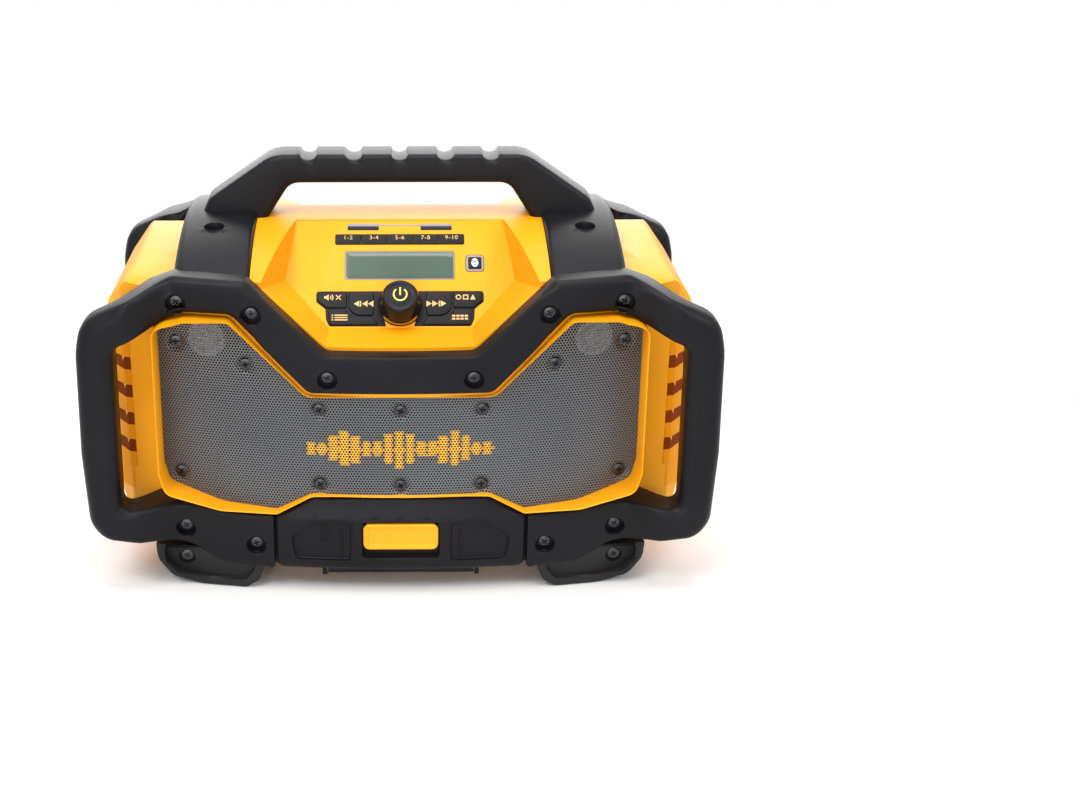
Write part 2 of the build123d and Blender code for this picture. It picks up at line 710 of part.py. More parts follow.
with BuildPart() as encoder_sleeve:
    add(deck_rod(0, KNOB_S, SLEEVE_R, -13, KNOB_BASE - 0.3))
    add(deck_rod(0, KNOB_S, SHAFT_R + FIT, -14, 2), mode=Mode.SUBTRACT)
save(encoder_sleeve.part, "encoder_sleeve")

with BuildPart() as encoder_body:
    add(deck_block(rectangle(-9, 9, KNOB_S - 9, KNOB_S + 9, 1), -12, -DECK_WALL))
    add(deck_rod(0, KNOB_S, SLEEVE_R + FIT, -20, 2), mode=Mode.SUBTRACT)
save(encoder_body.part, "encoder_body")

with BuildPart() as main_board:
    add(deck_block(rectangle(-62, 62, -25, 32, 0), -24, -22.4))
    for x in (-57, 57):
        for s in (-20, 27):
            add(deck_rod(x, s, 3, -22.4, -DECK_WALL))
save(main_board.part, "main_board")

# ---- front storage door, latch, bin and ports ----

DOOR_OUTLINE = both_sides([(0, 19.5, 0), (DOOR_HALF - 3, 19.5, 3), (DOOR_HALF, 23, 0),
                           (DOOR_HALF, 62.8, 2), (91.5, 63.9, 2), (66, 77.9, 6), (0, 77.9, 0)])
PIN_Y, PIN_Z = DOOR_HINGE
HINGE_HALF = 56.0
LATCH_HALF = 28.4
LATCH_PIN = (-132.6, 57.4)   # y, z
DOOR_FACE = FRONT_Y + 0.6

with BuildPart() as front_door:
    add(slab(DOOR_OUTLINE, -140, -110))
    add(plan_band((DOOR_HALF + 1, cage_face(DOOR_HALF + 1) + 0.6, DOOR_FACE),
                  (DOOR_HALF + 1, -118.2, -119.6), []), mode=Mode.INTERSECT)
    add(box((-HINGE_HALF, HINGE_HALF), (PIN_Y - 2, PIN_Y + 2), (PIN_Z, 21)))
    add(rod((-HINGE_HALF, PIN_Y, PIN_Z), (HINGE_HALF, PIN_Y, PIN_Z), 3.2))
    # recessed side panels on either side of a raised middle pad
    for side in (-1, 1):
        panel = [(side * 37, 28, 2), (side * 81, 28, 5), (side * 81, 49, 3), (side * 66, 63, 5),
                 (side * 37, 63.5, 2)]
        add(slab(panel, -140, -130.6), mode=Mode.SUBTRACT)
    # hollow back, latch pocket, finger gap and the holes for the latch's trunnions
    add(box((-86, 86), (-125, -110), (25, 58)), mode=Mode.SUBTRACT)
    add(slab(rectangle(-LATCH_HALF - 0.6, LATCH_HALF + 0.6, 31, 61, 2), -145, -129.4),
        mode=Mode.SUBTRACT)
    add(rod((-33, *LATCH_PIN), (33, *LATCH_PIN), 1.5 + FIT), mode=Mode.SUBTRACT)
    add(rod((-60, PIN_Y, PIN_Z), (60, PIN_Y, PIN_Z), 1.6 + FIT), mode=Mode.SUBTRACT)
    # room for the bin's hinge ears as the door swings down
    for side in (-1, 1):
        add(rod((side * HINGE_HALF, PIN_Y, PIN_Z), (side * 60.6, PIN_Y, PIN_Z), 5.8),
            mode=Mode.SUBTRACT)
save(front_door.part, "front_door")

with BuildPart() as door_latch:
    add(slab(rectangle(-LATCH_HALF, LATCH_HALF, 38, LATCH_PIN[1], 3)[:2]
             + [(LATCH_HALF, LATCH_PIN[1], 0), (-LATCH_HALF, LATCH_PIN[1], 0)], -135, -130))
    add(rod((-LATCH_HALF, *LATCH_PIN), (LATCH_HALF, *LATCH_PIN), 2.2))
    add(rod((-32, *LATCH_PIN), (32, *LATCH_PIN), 1.5))
save(door_latch.part, "door_latch")

save(rod((-60, PIN_Y, PIN_Z), (60, PIN_Y, PIN_Z), 1.6), "door_pin")

with BuildPart() as storage_bin:
    add(box((-BIN_HALF - 2, BIN_HALF + 2), (-116.5, -52), (34.4, 67.2)))
    add(box((-BIN_HALF, BIN_HALF), (-130, -54), (36.4, 66)), mode=Mode.SUBTRACT)
    for side in (-1, 1):
        low, high = sorted((side * (HINGE_HALF + 0.4), side * 60))
        add(box((low, high), (-124.5, -100), (12.2, 18.8)))
        add(box((low, high), (-116.5, -100), (12.2, 34.4)))
    add(rod((-61, PIN_Y, PIN_Z), (61, PIN_Y, PIN_Z), 1.6), mode=Mode.SUBTRACT)
save(storage_bin.part, "storage_bin")

with BuildPart() as port_panel:
    add(box((-34, 34), (-57, -54), (40, 64)))
    add(box((-24, -10), (-60, -57), (48, 56)))
    add(box((-22.5, -11.5), (-61, -55), (49.5, 54.5)), mode=Mode.SUBTRACT)
    add(rod((14, -60, 52), (14, -57, 52), 5))
    add(rod((14, -61, 52), (14, -55, 52), 1.8), mode=Mode.SUBTRACT)
save(port_panel.part, "port_panel")

# ---- battery bay, door and latch on the left ----

WALL_X = 218.4               # floor of the recess round each side panel
BAY_BACK = -WALL_X + BAY_DEPTH
PIN_X, BATTERY_PIN_Z = BATTERY_HINGE
PANEL_LOW = (PANEL_Y[0] + 0.4, PANEL_Z[0] + 0.4)
PANEL_HIGH = (PANEL_Y[1] - 0.4, PANEL_Z[1] - 0.4)

with BuildPart() as battery_bay:
    add(box((-WALL_X, BAY_BACK + 2), (BAY_Y[0] - 2, BAY_Y[1] + 2), (BAY_Z[0] - 2, BAY_Z[1] + 2)))
    add(box((-240, BAY_BACK), BAY_Y, BAY_Z), mode=Mode.SUBTRACT)
    for y in (BAY_Y[0] + 6, BAY_Y[1] - 9):
        add(box((BAY_BACK - 8, BAY_BACK), (y, y + 3), (BAY_Z[0] + 26, BAY_Z[1] - 6)))
save(battery_bay.part, "battery_bay")

with BuildPart() as battery_terminals:
    add(box((BAY_BACK - 12, BAY_BACK), (-4, 24), (BAY_Z[0] + 4, BAY_Z[0] + 20)))
    for y in (0, 10, 20):
        add(box((BAY_BACK - 11, BAY_BACK - 3), (y - 0.5, y + 0.5), (BAY_Z[0] + 20, BAY_Z[0] + 34)))
save(battery_terminals.part, "battery_terminals")

with BuildPart() as battery_door:
    add(box((-PANEL_FACE, -WALL_X - 1), (PANEL_LOW[0], PANEL_HIGH[0]),
            (PANEL_LOW[1], PANEL_HIGH[1] - 0.6)))
    add(box((PIN_X, -PANEL_FACE + 1.5), (-26, 46), (183, BATTERY_PIN_Z - 2)))
    add(rod((PIN_X, -26, BATTERY_PIN_Z), (PIN_X, 46, BATTERY_PIN_Z), 3))
    add(rod((PIN_X, -30, BATTERY_PIN_Z), (PIN_X, 50, BATTERY_PIN_Z), 1.5 + FIT),
        mode=Mode.SUBTRACT)
    add(box((-230, -221.2), (1.6, 22.4), (79.6, 97)), mode=Mode.SUBTRACT)
save(battery_door.part, "battery_door")

with BuildPart() as battery_latch:
    add(box((-225.2, -221.5), (2, 22), (80, 92)))
    add(box((-226, -224.4), (5, 19), (82.5, 89.5)), mode=Mode.SUBTRACT)
save(battery_latch.part, "battery_latch")

save(rod((PIN_X, -32, BATTERY_PIN_Z), (PIN_X, 52, BATTERY_PIN_Z), 1.5), "battery_door_pin")

# ---- mains outlets on the right ----

CUP_R = 18.4
PIN_SPACING = 19.0
COVER_HINGE_X = 226.4
COVER_REACH = 26.6           # hinge above the cover's centre

with BuildPart() as socket_plate:
    add(box((WALL_X + 0.2, PANEL_FACE), (PANEL_LOW[0], PANEL_HIGH[0]),
            (PANEL_LOW[1], PANEL_HIGH[1])))
    for z in COVER_Z:
        add(rod((200, COVER_Y, z), (240, COVER_Y, z), CUP_R), mode=Mode.SUBTRACT)
        pin_z = z + COVER_REACH
        for y in (COVER_Y - 11.5, COVER_Y + 11.5):
            add(box((PANEL_FACE - 1, COVER_HINGE_X + 2.4), (y - 2, y + 2), (pin_z - 2.6, pin_z + 2.6)))
        add(rod((COVER_HINGE_X, COVER_Y - 15, pin_z), (COVER_HINGE_X, COVER_Y + 15, pin_z), 1.3),
            mode=Mode.SUBTRACT)
save(socket_plate.part, "socket_plate")

with BuildPart() as outlets:
    for z in COVER_Z:
        add(rod((200, COVER_Y, z), (WALL_X + 0.2, COVER_Y, z), CUP_R + 2.6))
    for z in COVER_Z:
        add(rod((204, COVER_Y, z), (230, COVER_Y, z), CUP_R), mode=Mode.SUBTRACT)
        for y in (COVER_Y - PIN_SPACING / 2, COVER_Y + PIN_SPACING / 2):
            add(rod((190, y, z), (230, y, z), 2.5), mode=Mode.SUBTRACT)
save(outlets.part, "outlets")


def outlet_cover(z):
    """Flap with a round top and square foot, hung on its hinge above."""
    pin_z = z + COVER_REACH
    with BuildPart() as made:
        with BuildSketch(side_plane(PANEL_FACE + 0.4)):
            with Locations((COVER_Y, z)):
                Circle(COVER_R)
            with Locations((COVER_Y, z - COVER_R / 2)):
                Rectangle(2 * COVER_R, COVER_R)
        extrude(amount=3.6)
        add(box((PANEL_FACE + 1.4, COVER_HINGE_X + 1), (COVER_Y - 9, COVER_Y + 9), (z + 18, pin_z)))
        add(rod((COVER_HINGE_X, COVER_Y - 9, pin_z), (COVER_HINGE_X, COVER_Y + 9, pin_z), 2.6))
        add(box((PANEL_FACE + 3, PANEL_FACE + 6.5), (COVER_Y - 8, COVER_Y + 8), (z - 23.5, z - 20.5)))
        add(rod((COVER_HINGE_X, COVER_Y - 15, pin_z), (COVER_HINGE_X, COVER_Y + 15, pin_z),
                1.3 + FIT), mode=Mode.SUBTRACT)
    return made.part


save(outlet_cover(COVER_Z[0]), "outlet_cover_lower")
save(outlet_cover(COVER_Z[1]), "outlet_cover_upper")

with BuildPart() as cover_pins:
    for z in COVER_Z:
        pin_z = z + COVER_REACH
        add(rod((COVER_HINGE_X, COVER_Y - 13.5, pin_z), (COVER_HINGE_X, COVER_Y + 13.5, pin_z), 1.3))
save(cover_pins.part, "cover_pins")

# ---- speakers and power supply ----

FLANGE_DEPTH = BAFFLE_Y - GRILLE_Y - 3


def driver_front(place, rim, barrel_back):
    """Bowed mounting flange of both speakers, with the barrel that passes through the wall."""
    x, z, opening = place
    with BuildPart() as flange:
        for side in (-1, 1):
            add(rod((side * x, -125, z), (side * x, -80, z), opening + rim))
        add(bowed_layer(FLANGE_DEPTH), mode=Mode.INTERSECT)
    with BuildPart() as barrel:
        for side in (-1, 1):
            add(rod((side * x, -125, z), (side * x, barrel_back, z), opening - 0.5))
        add(bowed_layer(FLANGE_DEPTH, 60), mode=Mode.INTERSECT)
    return flange.part + barrel.part


with BuildPart() as woofers:
    x, z, opening = WOOFER
    add(driver_front(WOOFER, 3, -92))
    for side in (-1, 1):
        with BuildSketch(front_plane(-92)):
            with Locations((side * x, z)):
                Circle(opening - 0.5)
        with BuildSketch(front_plane(-66)):
            with Locations((side * x, z)):
                Circle(20)
        loft()
        add(rod((side * x, -66, z), (side * x, -50, z), 27))
    for side in (-1, 1):
        with BuildSketch(front_plane(-120)):
            with Locations((side * x, z)):
                Circle(opening - 4)
        with BuildSketch(front_plane(-82)):
            with Locations((side * x, z)):
                Circle(10)
        loft(mode=Mode.SUBTRACT)
save(woofers.part, "woofers")

with BuildPart() as tweeters:
    x, z, opening = TWEETER
    add(driver_front(TWEETER, 2.5, -84))
    for side in (-1, 1):
        with Locations((side * x, -100.8, z)):
            Sphere(7)
save(tweeters.part, "tweeters")

save(box((20, 120), (-10, 50), (BODY_BOTTOM + WALL, 72)), "power_supply")

# ---- cord, hooks, plug and gland at the back ----

BUNDLE_W, BUNDLE_D = COIL_BUNDLE


def racetrack(radius):
    """Closed oval of the coil at this radius, drawn in X and Z."""
    Line((-COIL_HALF, COIL_Z - radius), (COIL_HALF, COIL_Z - radius))
    ThreePointArc((COIL_HALF, COIL_Z - radius), (COIL_HALF + radius, COIL_Z),
                  (COIL_HALF, COIL_Z + radius))
    Line((COIL_HALF, COIL_Z + radius), (-COIL_HALF, COIL_Z + radius))
    ThreePointArc((-COIL_HALF, COIL_Z + radius), (-COIL_HALF - radius, COIL_Z),
                  (-COIL_HALF, COIL_Z - radius))


with BuildPart() as cord_coil:
    with BuildSketch(front_plane(COIL_Y + BUNDLE_D / 2)):
        with BuildLine():
            racetrack(COIL_R + BUNDLE_W / 2)
        make_face()
    extrude(amount=BUNDLE_D)
    with BuildSketch(front_plane(COIL_Y + BUNDLE_D / 2)):
        with BuildLine():
            racetrack(COIL_R - BUNDLE_W / 2)
        make_face()
    extrude(amount=BUNDLE_D, mode=Mode.SUBTRACT)
save(cord_coil.part, "cord_coil")

with BuildPart() as cord_hooks:
    for side in (-1, 1):
        add(rod((side * COIL_HALF, RECESS_Y, COIL_Z), (side * COIL_HALF, 122, COIL_Z),
                COIL_R - BUNDLE_W / 2 - 0.4))
        low, high = sorted((side * COIL_HALF, side * (COIL_HALF + COIL_R + 11)))
        add(box((low, high), (COIL_Y + BUNDLE_D / 2 + 0.6, 122), (COIL_Z - 8, COIL_Z + 8)))
    for side in (-1, 1):
        low, high = sorted((0, side * COIL_HALF))
        add(box((low, high), (RECESS_Y, 130), (77, 166)), mode=Mode.SUBTRACT)
save(cord_hooks.part, "cord_hooks")


def cord_tube(points, name):
    """Cord along straight runs joined by arcs as large as the runs allow."""
    runs = [(Vector(*b) - Vector(*a)) for a, b in zip(points, points[1:])]
    radii = []
    for before, after in zip(runs, runs[1:]):
        turn = before.get_angle(after)
        radii.append(0.45 * min(before.length, after.length) / math.tan(math.radians(turn / 2)))
    with BuildPart() as made:
        with BuildLine() as path:
            FilletPolyline(*points, radius=radii)
        with BuildSketch(Plane(origin=points[0], z_dir=runs[0].normalized())):
            Circle(CORD_R)
        sweep(path=path.wires()[0])
    length = path.wires()[0].length
    print(name, "radii", [round(r, 1) for r in radii], "length", round(length, 1),
          "volume ratio", round(made.part.volume / (math.pi * CORD_R**2 * length), 4))
    save(made.part, name)


GLAND_X = -134.0
cord_tube([(GLAND_X, 112.5, 79), (-112, 112.3, 80.4), (-88, 111.8, 84.1), (-62, 111, 87.5)],
          "cord_tail")
cord_tube([(90, 111, 121), (89.4, 111.8, 135), (89.6, 113.6, 149), (91.6, 116.2, 163),
           (98.4, 118.6, 175.2), (109.6, PLUG_Y, PLUG_Z), (123, PLUG_Y, PLUG_Z)], "cord_lead")

PLUG_FACE = 172.0
with BuildPart() as mains_plug:
    add(rod((132, PLUG_Y, PLUG_Z), (PLUG_FACE, PLUG_Y, PLUG_Z), 15))
    add(rod((123, PLUG_Y, PLUG_Z), (132, PLUG_Y, PLUG_Z), 6))
    for offset_z in (-PIN_SPACING / 2, PIN_SPACING / 2):
        add(rod((PLUG_FACE, PLUG_Y, PLUG_Z + offset_z), (PLUG_FACE + 19, PLUG_Y, PLUG_Z + offset_z), 2.4))
save(mains_plug.part, "mains_plug")

with BuildPart() as plug_clip:
    add(box((123.5, 131), (90, 125), (PLUG_Z - 10, PLUG_Z + 10)))
    add(rod((115, PLUG_Y, PLUG_Z), (135, PLUG_Y, PLUG_Z), 6.2), mode=Mode.SUBTRACT)
    add(box((115, 135), (PLUG_Y, 130), (PLUG_Z - 5.2, PLUG_Z + 5.2)), mode=Mode.SUBTRACT)
    add(whole_housing, mode=Mode.SUBTRACT)
save(plug_clip.part, "plug_clip")

with BuildPart() as cord_gland:
    add(box((GLAND_X - 16, GLAND_X - 6), (90, 121), (70, 89)))
    add(rod((GLAND_X - 6, 112.5, 79), (GLAND_X, 112.5, 79), 6))
    add(whole_housing, mode=Mode.SUBTRACT)
save(cord_gland.part, "cord_gland")
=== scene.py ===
import json
import math
import bmesh
import bpy
import numpy as np
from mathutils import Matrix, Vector, geometry

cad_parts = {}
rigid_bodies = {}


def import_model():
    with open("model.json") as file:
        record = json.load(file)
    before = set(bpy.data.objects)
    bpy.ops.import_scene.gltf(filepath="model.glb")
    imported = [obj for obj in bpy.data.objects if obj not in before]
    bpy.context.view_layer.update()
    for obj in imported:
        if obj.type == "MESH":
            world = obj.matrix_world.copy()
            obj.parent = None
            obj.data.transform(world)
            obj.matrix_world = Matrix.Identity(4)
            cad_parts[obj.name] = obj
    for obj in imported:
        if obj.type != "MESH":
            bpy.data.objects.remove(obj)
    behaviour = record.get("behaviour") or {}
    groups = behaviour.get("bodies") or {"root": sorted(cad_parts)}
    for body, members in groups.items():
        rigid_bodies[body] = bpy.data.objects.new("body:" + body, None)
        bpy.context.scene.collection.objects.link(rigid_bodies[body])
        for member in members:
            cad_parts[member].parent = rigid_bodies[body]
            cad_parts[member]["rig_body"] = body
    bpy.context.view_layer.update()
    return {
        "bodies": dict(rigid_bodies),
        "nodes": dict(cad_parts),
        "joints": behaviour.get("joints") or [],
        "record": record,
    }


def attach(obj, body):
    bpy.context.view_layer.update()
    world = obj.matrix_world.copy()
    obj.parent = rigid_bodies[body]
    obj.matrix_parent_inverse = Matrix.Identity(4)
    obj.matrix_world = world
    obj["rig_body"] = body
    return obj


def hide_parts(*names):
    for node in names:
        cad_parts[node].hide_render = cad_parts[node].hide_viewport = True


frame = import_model()
nodes = frame["nodes"]
mm = 0.001          # shapes are written in millimetres and scaled once, in putMesh
print("frame loaded:", len(nodes), "nodes")


def newObject(name, data):
    made = bpy.data.objects.new(name, data)
    bpy.context.scene.collection.objects.link(made)
    return made


# camera: place in millimetres, pitch down and yaw in degrees
view = {"place": (-7.3, -1236.8, 603.0), "pitch": 22.2, "yaw": 0.5, "sensor": 36.0, "lens": 54.26,
        "shiftX": 0.126, "shiftY": 0.0030, "near": 0.01}


def makeCamera():
    camera = newObject("camera", bpy.data.cameras.new("camera"))
    camera.data.sensor_width = view["sensor"]
    camera.data.lens = view["lens"]
    camera.data.shift_x = view["shiftX"]
    camera.data.shift_y = view["shiftY"]
    camera.data.clip_start = view["near"]
    camera.location = [v * mm for v in view["place"]]
    camera.rotation_euler = (math.radians(90 - view["pitch"]), 0, -math.radians(view["yaw"]))
    bpy.context.scene.camera = camera


makeCamera()
bpy.context.scene.view_settings.view_transform = "Standard"

# lamps as name, place, size and power; the floor turns plain white between near and far; in metres
studio = {"floor": (0.93, 0.93, 0.93), "floorHalf": 6.0, "world": 0.42, "near": 0.3, "far": 0.75,
          "aim": (0, 0, 0.12),
          "lamps": [("keyLamp", (-0.8, -1.2, 1.9), 0.9, 21.0), ("fillLamp", (1.3, -0.9, 1.5), 1.1, 13.0),
                    ("topLamp", (0.0, -0.1, 2.0), 1.2, 21.0), ("backLamp", (0.0, 1.9, 1.0), 2.0, 34.0),
                    ("lowLamp", (-0.3, -1.8, 0.3), 1.2, 12.0)]}


def setSockets(node, values):
    for socket, value in values.items():
        node.inputs[socket].default_value = value


def addNode(tree, kind, values=None, **settings):
    # new shader node with its settings first and then the plain values of its sockets
    node = tree.nodes.new("ShaderNode" + kind)
    for setting, value in settings.items():
        setattr(node, setting, value)
    setSockets(node, values or {})
    return node


def nodeOf(tree, kind):
    return next(n for n in tree.nodes if n.type == kind)


def straightRays(tree):
    # 1 for rays that show the background: from the camera, a reflection or through glass
    path = addNode(tree, "LightPath")
    total = path.outputs["Is Camera Ray"]
    for kind in ("Is Glossy Ray", "Is Transmission Ray"):
        either = addNode(tree, "Math", operation="MAXIMUM")
        tree.links.new(total, either.inputs[0])
        tree.links.new(path.outputs[kind], either.inputs[1])
        total = either.outputs["Value"]
    return total


def makeStudio():
    for name, place, size, power in studio["lamps"]:
        lamp = bpy.data.lights.new(name, "AREA")
        lamp.size = size
        lamp.energy = power
        holder = newObject(name, lamp)
        holder.location = place
        aim = Vector(studio["aim"]) - Vector(place)
        holder.rotation_euler = aim.to_track_quat("-Z", "Y").to_euler()
    world = bpy.data.worlds.new("studioWorld")
    bpy.context.scene.world = world
    world.use_nodes = True
    tree = world.node_tree
    back = tree.nodes["Background"]
    setSockets(back, {"Color": (1, 1, 1, 1)})
    pick = addNode(tree, "Mix", {"A": studio["world"], "B": 1.0}, data_type="FLOAT")
    tree.links.new(straightRays(tree), pick.inputs["Factor"])
    tree.links.new(pick.outputs["Result"], back.inputs["Strength"])


makeStudio()
print("camera and studio")


def newMaterial(name):
    material = bpy.data.materials.new(name)
    material.use_nodes = True
    return material, material.node_tree, nodeOf(material.node_tree, "BSDF_PRINCIPLED")


# shares of the noise between which colour and roughness run from their first value to their second, and
# the scales, details and bumps of the noises
spread = {"colour": (0.35, 0.65), "rough": (0.3, 0.7), "drift": 9.0, "detail": 2.0, "grainDepth": 0.06,
          "brushed": 900.0, "brushedDetail": 3.0, "brushedBump": 0.15, "brushedDepth": 0.02}


def addNoise(tree, scale, detail):
    # noise on the piece's own Object coordinates
    place = addNode(tree, "TexCoord")
    noise = addNode(tree, "TexNoise", {"Scale": scale, "Detail": detail})
    tree.links.new(place.outputs["Object"], noise.inputs["Vector"])
    return noise.outputs["Fac"]


def addColours(tree, shader, factor, dark, light):
    ramp = addNode(tree, "ValToRGB")
    for stop, place, colour in zip(ramp.color_ramp.elements, spread["colour"], (dark, light)):
        stop.position = place
        stop.color = (*colour, 1)
    tree.links.new(factor, ramp.inputs["Fac"])
    tree.links.new(ramp.outputs["Color"], shader.inputs["Base Color"])


def addRoughness(tree, shader, factor, rough):
    ends = zip(("From Min", "From Max", "To Min", "To Max"), (*spread["rough"], *rough))
    span = addNode(tree, "MapRange", dict(ends))
    tree.links.new(factor, span.inputs["Value"])
    tree.links.new(span.outputs["Result"], shader.inputs["Roughness"])


def addBump(tree, shader, height, strength, depth):
    bump = addNode(tree, "Bump", {"Strength": strength, "Distance": depth * mm})
    tree.links.new(height, bump.inputs["Height"])
    tree.links.new(bump.outputs["Normal"], shader.inputs["Normal"])


def plastic(name, dark, light, rough, grain, strength, coat=0.0, shine=0.5):
    # moulded plastic: slow colour drift, fine spark-eroded grain in the bump and in the roughness
    material, tree, shader = newMaterial(name)
    addColours(tree, shader, addNoise(tree, spread["drift"], spread["detail"]), dark, light)
    fine = addNoise(tree, grain, spread["detail"])
    addRoughness(tree, shader, fine, rough)
    addBump(tree, shader, fine, strength, spread["grainDepth"])
    setSockets(shader, {"Specular IOR Level": shine, "Coat Weight": coat, "Coat Roughness": 0.25})
    return material


def metal(name, colour, rough):
    # brushed metal: one fine noise gives the colour, the roughness and the bump
    material, tree, shader = newMaterial(name)
    setSockets(shader, {"Metallic": 1.0})
    brushed = addNoise(tree, spread["brushed"], spread["brushedDetail"])
    addColours(tree, shader, brushed, [c * 0.8 for c in colour], colour)
    addRoughness(tree, shader, brushed, rough)
    addBump(tree, shader, brushed, spread["brushedBump"], spread["brushedDepth"])
    return material


# each plastic: dark and light colour, roughness from and to, grains per metre, bump
yellow = plastic("yellowShell", (0.94, 0.365, 0.003), (0.98, 0.405, 0.006), (0.36, 0.48), 1500, 0.2,
                 shine=0.26)
latchYellow = plastic("latchYellow", (0.94, 0.385, 0.004), (0.98, 0.42, 0.007), (0.30, 0.42), 1500, 0.2,
                      shine=0.32)
black = plastic("blackShell", (0.0062, 0.0058, 0.0070), (0.0092, 0.0086, 0.0100), (0.34, 0.46), 1300, 0.4,
                shine=0.15)
rubber = plastic("blackRubber", (0.009, 0.009, 0.0095), (0.014, 0.013, 0.014), (0.5, 0.65), 1800, 0.4,
                 shine=0.3)
screwSteel = metal("screwSteel", (0.065, 0.065, 0.07), (0.22, 0.34))
pinSteel = metal("pinSteel", (0.60, 0.60, 0.61), (0.22, 0.35))
brass = metal("contactBrass", (0.75, 0.56, 0.24), (0.25, 0.38))
chrome = plastic("tweeterMetal", (0.84, 0.84, 0.86), (0.9, 0.9, 0.92), (0.12, 0.22), 400, 0.1)
cone = plastic("cone", (0.006, 0.006, 0.006), (0.012, 0.012, 0.012), (0.6, 0.8), 500, 0.5, shine=0.1)
casePaint = plastic("transformer", (0.2, 0.2, 0.21), (0.24, 0.24, 0.25), (0.4, 0.5), 700, 0.3)
board = plastic("board", (0.01, 0.12, 0.04), (0.015, 0.16, 0.06), (0.3, 0.45), 600, 0.2)
modulePlastic = plastic("module", (0.03, 0.03, 0.033), (0.045, 0.045, 0.05), (0.4, 0.5), 900, 0.2)
insulator = plastic("outletPlastic", (0.02, 0.02, 0.022), (0.03, 0.03, 0.033), (0.25, 0.35), 900, 0.15)
sheath = plastic("cordRubber", (0.012, 0.012, 0.012), (0.018, 0.018, 0.018), (0.42, 0.55), 1600, 0.3)
steelPaint = plastic("grilleSteel", (0.120, 0.123, 0.129), (0.143, 0.146, 0.152), (0.30, 0.40), 900, 0.15)


def addPaint(material, colour):
    # mixes colour over the base where the faces' own paint value is one
    tree = material.node_tree
    shader = nodeOf(tree, "BSDF_PRINCIPLED")
    under = shader.inputs["Base Color"].links[0].from_socket
    paint = addNode(tree, "Attribute", attribute_name="paint")
    mix = addNode(tree, "Mix", data_type="RGBA")
    tree.links.new(paint.outputs["Fac"], mix.inputs["Factor"])
    tree.links.new(under, mix.inputs["A"])
    setSockets(mix, {"B": (*colour, 1)})
    tree.links.new(mix.outputs["Result"], shader.inputs["Base Color"])


addPaint(steelPaint, (0.86, 0.45, 0.04))
window = plastic("displayWindow", (0.040, 0.080, 0.052), (0.058, 0.105, 0.070), (0.04, 0.07), 300, 0.01,
                 coat=0.5)

finishes = {"yellow_shell": yellow, "black_shell": black, "black_rubber": rubber,
            "grille_steel": steelPaint, "screw_steel": screwSteel, "pin_steel": pinSteel,
            "display_window": window, "module": modulePlastic, "board": board,
            "contact_brass": brass, "outlet_plastic": insulator, "cone": cone,
            "tweeter_metal": chrome, "transformer": casePaint, "cord_rubber": sheath}
slotOf = {row["node"]: row["material_slot"] for row in frame["record"]["subparts"]}
print("materials:", len(finishes))


def unit(v):
    return v / np.maximum(np.linalg.norm(v, axis=-1, keepdims=True), 1e-12)


def smooth(t):
    # 0 to 1 with level ends: 3t^2 - 2t^3
    t = np.clip(t, 0, 1)
    return t * t * (3 - 2 * t)


def turnedOver(corners):
    # corners (u, v, radius) mirrored left to right, in the order that keeps them anticlockwise
    return [(-x, z, r) for x, z, r in reversed(corners)]


def bothSides(half):
    # closed corner list from its right half
    return half + turnedOver([corner for corner in half if corner[0] > 0])


def cornerArc(before, here, after, r, arcStep):
    # points of the arc of radius r that touches both runs of a corner, from the first run to the second
    a, b = unit(before - here), unit(after - here)
    turn = math.acos(np.clip(a @ b, -1, 1))
    cut = r / math.tan(turn / 2)
    middle = here + unit(a + b) * r / math.sin(turn / 2)
    first, last = here + a * cut - middle, here + b * cut - middle
    start = math.atan2(first[1], first[0])
    sweep = (math.atan2(last[1], last[0]) - start + math.pi) % (2 * math.pi) - math.pi
    steps = max(2, math.ceil(abs(sweep) / math.radians(arcStep)))
    angles = start + np.linspace(0, sweep, steps + 1)
    return middle + r * np.column_stack((np.cos(angles), np.sin(angles)))


def roundedLine(corners, arcStep=11.0, runStep=7.0):
    # closed line through corners (u, v, radius): straight runs joined by arcs that touch both runs,
    # with points every runStep along the runs, anticlockwise
    spots = np.array([c[:2] for c in corners], float)
    arcs = []
    for i, (_, _, r) in enumerate(corners):
        after = spots[(i + 1) % len(corners)]
        arcs.append(cornerArc(spots[i - 1], spots[i], after, r, arcStep) if r > 0 else spots[i][None])
    pieces = []
    for arc, following in zip(arcs, arcs[1:] + arcs[:1]):
        gap = following[0] - arc[-1]
        steps = max(1, math.ceil(np.linalg.norm(gap) / runStep))
        pieces += [arc, arc[-1] + gap * (np.arange(1, steps) / steps)[:, None]]
    line = np.concatenate(pieces)
    line = line[np.linalg.norm(line - np.roll(line, 1, 0), axis=1) > 1e-6]
    x, z = line.T
    area = np.sum(x * np.roll(z, -1) - np.roll(x, -1) * z)
    return line if area > 0 else line[::-1]


def rectangleLine(left, right, low, high, r, runStep=7.0):
    return roundedLine([(left, low, r), (right, low, r), (right, high, r), (left, high, r)], runStep=runStep)


def circle(u, v, radius, count=28):
    # closed line of count points at equal angles
    a = np.linspace(0, 2 * math.pi, count, endpoint=False)
    return np.column_stack((u + radius * np.cos(a), v + radius * np.sin(a)))


def inset(line, amount):
    # closed anticlockwise line moved inwards along its mitres: half the sum of the two runs' inward
    # normals, lengthened by the corner's angle
    ahead = unit(np.roll(line, -1, 0) - line)
    behind = unit(line - np.roll(line, 1, 0))
    before = np.column_stack((-behind[:, 1], behind[:, 0]))
    after = np.column_stack((-ahead[:, 1], ahead[:, 0]))
    mitre = (before + after) / np.maximum(1 + np.sum(before * after, 1), 0.45)[:, None]
    return line + mitre * np.broadcast_to(amount, len(line))[:, None]


